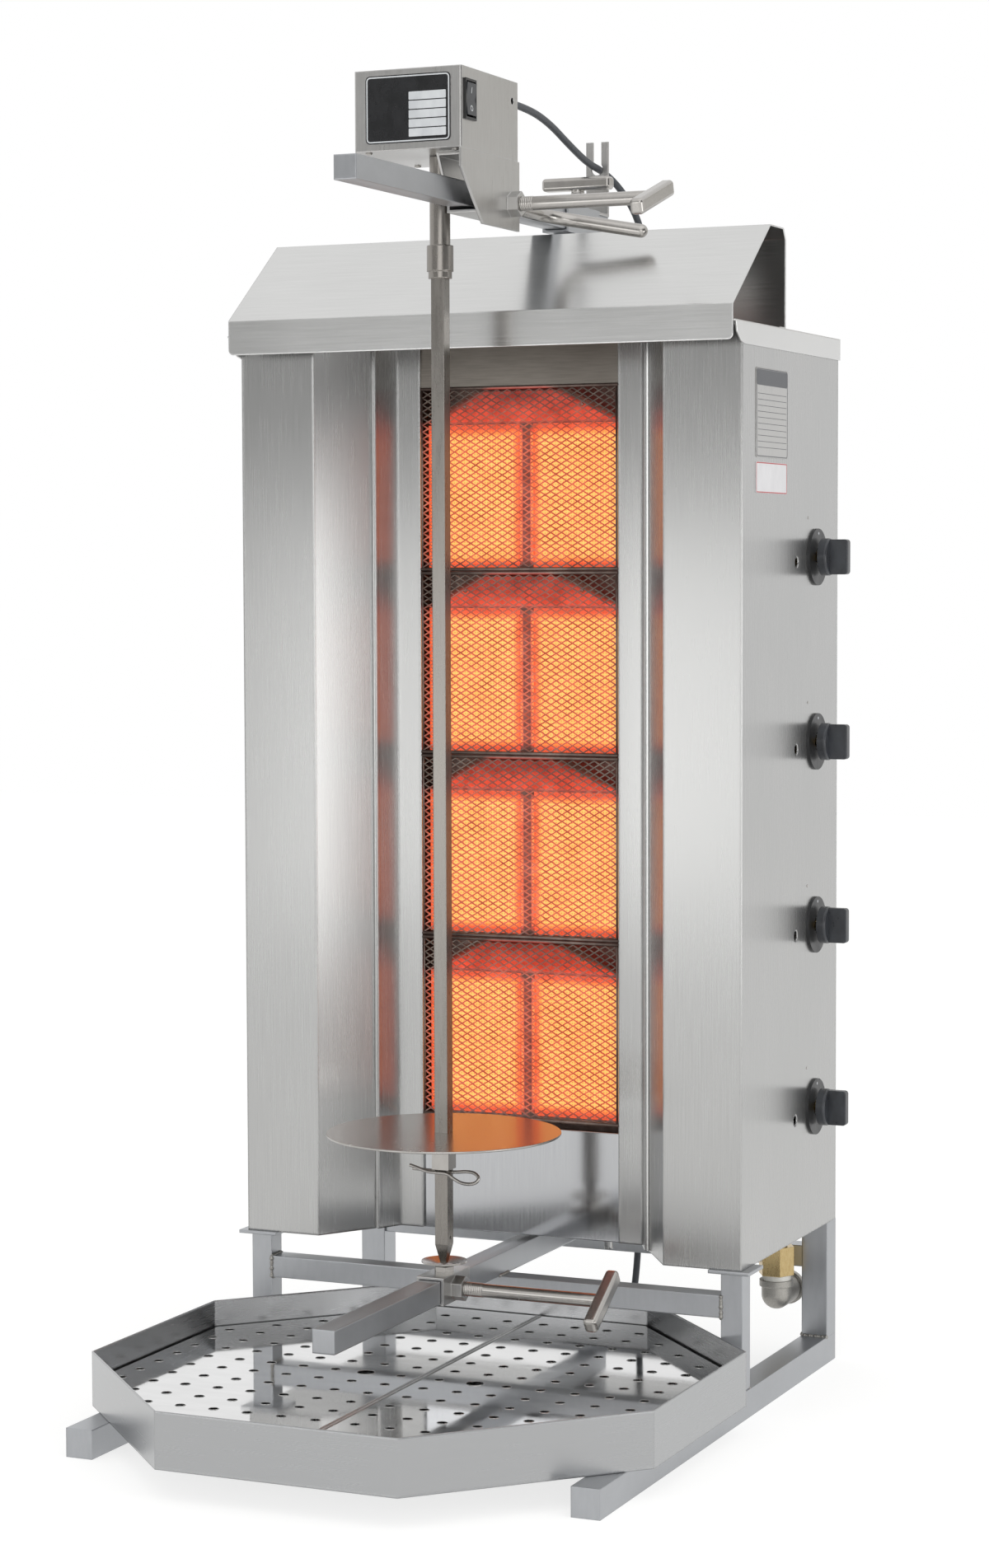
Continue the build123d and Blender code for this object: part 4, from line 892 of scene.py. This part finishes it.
# hairpin clip under the meat plate: one leg through the bar, the other in front of it, and a hanging eye
clip = {"radius": 0.0015, "route": [
    (-0.03, -0.092, 0.2216), (-0.012, -0.092, 0.221), (0.0, -0.092, 0.221), (0.012, -0.092, 0.221),
    (0.021, -0.0922, 0.2224), (0.03, -0.0932, 0.2222), (0.0358, -0.0952, 0.2178), (0.032, -0.0978, 0.2128),
    (0.021, -0.0995, 0.2126), (0.0125, -0.1008, 0.2172), (0.008, -0.1012, 0.221), (-0.001, -0.1012, 0.2212),
    (-0.01, -0.101, 0.2212), (-0.018, -0.0985, 0.2222), (-0.0245, -0.0962, 0.2238),
    (-0.0312, -0.0958, 0.2252)]}
clipWire = tubeAlong("clipWire", clip["route"], clip["radius"], steels["turnedSteel"])[0]
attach(clipWire, "clip")
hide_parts("clip_pin")
print("hems and clip made")

# blank plates: a sheet, then inked fields and frames on its face, each given as
# x, y, width, height, level, corner radius and frame width
sheetThick, inkThick = 0.0006, 0.0001


def dressPlate(name, body, place, layers):
    for index, (material, items) in enumerate(layers):
        bm = bmesh.new()
        for x, y, width, height, level, radius, inner in items:
            shifted = place @ Matrix.Translation((x, y, level))
            addPlate(bm, shifted, width, height, inkThick if level else sheetThick, radius, inner)
        piece = newPiece(f"{name}_{index}", bm, material)
        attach(piece, body)


motorPlate = {"centre": (-0.0035, -0.148, 1.1355), "size": (0.079, 0.057), "rows": 5, "rowPitch": 0.0077}
dressPlate("motorPlate", "carriage", plateBasis(motorPlate["centre"], (1, 0, 0), (0, 0, 1)), [
    (plastics["blackEnamel"], [(0, 0, *motorPlate["size"], 0, 0.004, 0)]),
    (plastics["paleInk"], [(0, 0, 0.0772, 0.0552, sheetThick, 0.0034, 0.0011)]
     + [(0.0182, -0.0205 + motorPlate["rowPitch"] * row, 0.0345, 0.0068, sheetThick, 0.0006, 0)
        for row in range(motorPlate["rows"])])])

sidePlate = {"centre": (0.243, 0.076, 0.883), "size": (0.084, 0.078), "rows": 10, "rowPitch": 0.0052}
dressPlate("ratingPlate", "stand", plateBasis(sidePlate["centre"], (0, 1, 0), (0, 0, 1)), [
    (steels["boxSheet"], [(0, 0, *sidePlate["size"], 0, 0.003, 0)]),
    (plastics["greyInk"], [(0, 0.0305, 0.08, 0.0135, sheetThick, 0.002, 0),
                           (0, 0, 0.0825, 0.0765, sheetThick, 0.003, 0.0008)]
     + [(0, 0.0165 - sidePlate["rowPitch"] * row, 0.076, 0.0005, sheetThick, 0.0002, 0)
        for row in range(sidePlate["rows"])])])

label = {"centre": (0.243, 0.075, 0.8265), "size": (0.082, 0.027)}
dressPlate("blankLabel", "stand", plateBasis(label["centre"], (0, 1, 0), (0, 0, 1)), [
    (plastics["paleLabel"], [(0, 0, *label["size"], 0, 0.002, 0)]),
    (plastics["redInk"], [(0, 0, 0.0815, 0.0265, sheetThick, 0.002, 0.0009)])])
print("plates made")

# a bar and a ring on the two sloped halves of the switch
marks = {"fall": 0.0014, "run": 0.0135, "face": 0.0476, "switch": (-0.132, 1.142), "offset": 0.0075,
         "size": 0.005, "barWide": 0.0009, "barRound": 0.0003, "ringWide": 0.0008}
bm = bmesh.new()
for sign in (1, -1):
    turn = Matrix.Rotation(sign * math.atan(marks["fall"] / marks["run"]), 4, "Y")
    place = Matrix.Translation((marks["face"] + marks["fall"] * marks["offset"] / marks["run"],
                                marks["switch"][0], marks["switch"][1] + sign * marks["offset"])) @ turn
    basis = place @ Matrix(((0, 0, 1, 0), (1, 0, 0, 0), (0, 1, 0, 0), (0, 0, 0, 1)))
    if sign > 0:
        addPlate(bm, basis, marks["barWide"], marks["size"], inkThick, marks["barRound"])
    else:
        addPlate(bm, basis, marks["size"], marks["size"], inkThick, marks["size"] / 2, marks["ringWide"])
switchMarks = newPiece("switchMarks", bm, plastics["paleInk"])
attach(switchMarks, "switch_rocker")

# a dot over each knob, on its bezel
dot = {"top": (0.2455, 0.201, 0.7575), "pitch": 0.1691, "above": 0.0215, "size": 0.0026, "knobs": 4}
bm = bmesh.new()
for row in range(dot["knobs"]):
    x, y, z = dot["top"]
    basis = plateBasis((x, y, z - row * dot["pitch"] + dot["above"]), (0, 1, 0), (0, 0, 1))
    addPlate(bm, basis, dot["size"], dot["size"], inkThick, dot["size"] / 2)
bezelDots = newPiece("bezelDots", bm, plastics["paleInk"])
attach(bezelDots, "stand")

# bright sleeves over the plug's two pins
pins = {"apart": 0.0095, "length": 0.0188, "tip": 0.0001, "radius": 0.00248}
bm = bmesh.new()
low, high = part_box("mains_plug")
for side in (-1, 1):
    x = (low.x + high.x) / 2 + side * pins["apart"]
    addRod(bm, (x, high.y - pins["length"], lead["plugHeight"]), (x, high.y - pins["tip"], lead["plugHeight"]),
           pins["radius"], sides=16)
plugPins = newPiece("plugPins", bm, steels["brass"])
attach(plugPins, "stand")
print("marks and pins made")

# floor, light and world
studio = {"floorSize": 14.0, "floorColour": "#EFEFED", "floorGlow": 1.3, "floorGlowShare": 0.55,
          "ambient": 0.75}
cards = {
    # wide grey wall behind the camera, a dark flag to the right above the side softbox, and two pale cards
    # at the height that the motor box reflects, in front of it and behind it to the right
    "greyWall": {"low": (-5, -4.9, 0), "high": (5, -4.8, 2.6), "dark": "#B4B4B4", "light": "#C6C6C6"},
    "darkFlag": {"low": (2.3, -2.2, 0.96), "high": (2.4, 0.3, 2.6), "dark": "#3A3A3A", "light": "#4A4A4A"},
    "paleCard": {"low": (-3.2, -4.75, 1.62), "high": (-0.5, -4.7, 2.6), "dark": "#E2E2E2",
                 "light": "#EAEAEA"},
    "backFlag": {"low": (0.5, 3.0, 1.3), "high": (2.8, 3.1, 2.5), "dark": "#EFEDE9", "light": "#F5F3EF"},
}
lamps = {
    "frontSoftbox": {"place": (-0.76, -2.1, 0.53), "aimHeight": 0.53, "size": (0.95, 0.64), "watts": 3.3},
    "rightSoftbox": {"place": (1.75, -0.38, 0.53), "aimHeight": 0.53, "size": (0.8, 0.7), "watts": 4.0},
    "cameraSoftbox": {"place": (1.4, -3.4, 0.95), "aimHeight": 0.6, "size": (2.4, 1.5), "watts": 20},
    "topSoftbox": {"place": (0.9, -1.0, 2.5), "aimHeight": 0.6, "size": (3.0, 3.0), "watts": 10},
}


def seenDirectly(tree):
    path = addNode(tree, "LightPath").outputs
    return calc(tree, "MAXIMUM", calc(tree, "MAXIMUM", path["Is Camera Ray"], path["Is Glossy Ray"]),
                path["Is Transmission Ray"])


def makeFloor():
    bm = bmesh.new()
    bmesh.ops.create_grid(bm, x_segments=1, y_segments=1, size=studio["floorSize"] / 2)
    material = bpy.data.materials.new("paleFloor")
    material.use_nodes = True
    tree = material.node_tree
    tree.nodes.clear()
    matt = addNode(tree, "BsdfDiffuse", {"Color": hexColour(studio["floorColour"])})
    white = addNode(tree, "Emission", {"Color": (1, 1, 1, 1), "Strength": studio["floorGlow"]})
    share = calc(tree, "MULTIPLY", seenDirectly(tree), studio["floorGlowShare"])
    mixed = addNode(tree, "MixShader", {0: share, 1: matt.outputs[0], 2: white.outputs[0]})
    addNode(tree, "OutputMaterial", {"Surface": mixed.outputs[0]})
    floor = newPiece("paleFloor", bm, material)


def makeCard(name, look):
    # seen only in reflections
    bm = bmesh.new()
    addBox(bm, look["low"], look["high"])
    material, tree, shader = newMaterial(name)
    tint(tree, shader, noise(tree, (1.5, 1.5, 0.8), detail=1), look)
    shader.inputs["Roughness"].default_value = 1.0
    card = newPiece(name, bm, material)
    card.visible_camera = False
    card.visible_shadow = False
    card.visible_diffuse = False


def makeLamp(name, spec):
    data = bpy.data.lights.new(name, "AREA")
    data.shape = "RECTANGLE"
    data.size, data.size_y = spec["size"]
    data.energy = spec["watts"]
    lamp = bpy.data.objects.new(name, data)
    way = Vector((0, 0, spec["aimHeight"])) - Vector(spec["place"])
    lamp.rotation_euler = way.to_track_quat("-Z", "Y").to_euler()
    lamp.location = spec["place"]
    lamp.visible_camera = False
    scene.collection.objects.link(lamp)


def makeWorld():
    world = bpy.data.worlds.new("studio")
    scene.world = world
    world.use_nodes = True
    tree = world.node_tree
    tree.nodes.clear()
    strength = calc(tree, "MULTIPLY_ADD", seenDirectly(tree), 1 - studio["ambient"], studio["ambient"])
    sky = addNode(tree, "Background", {"Color": (1, 1, 1, 1), "Strength": strength})
    addNode(tree, "OutputWorld", {"Surface": sky.outputs[0]})


makeFloor()
for name, look in cards.items():
    makeCard(name, look)
for name, spec in lamps.items():
    makeLamp(name, spec)
makeWorld()
scene.view_settings.view_transform = "Standard"
print("studio made")
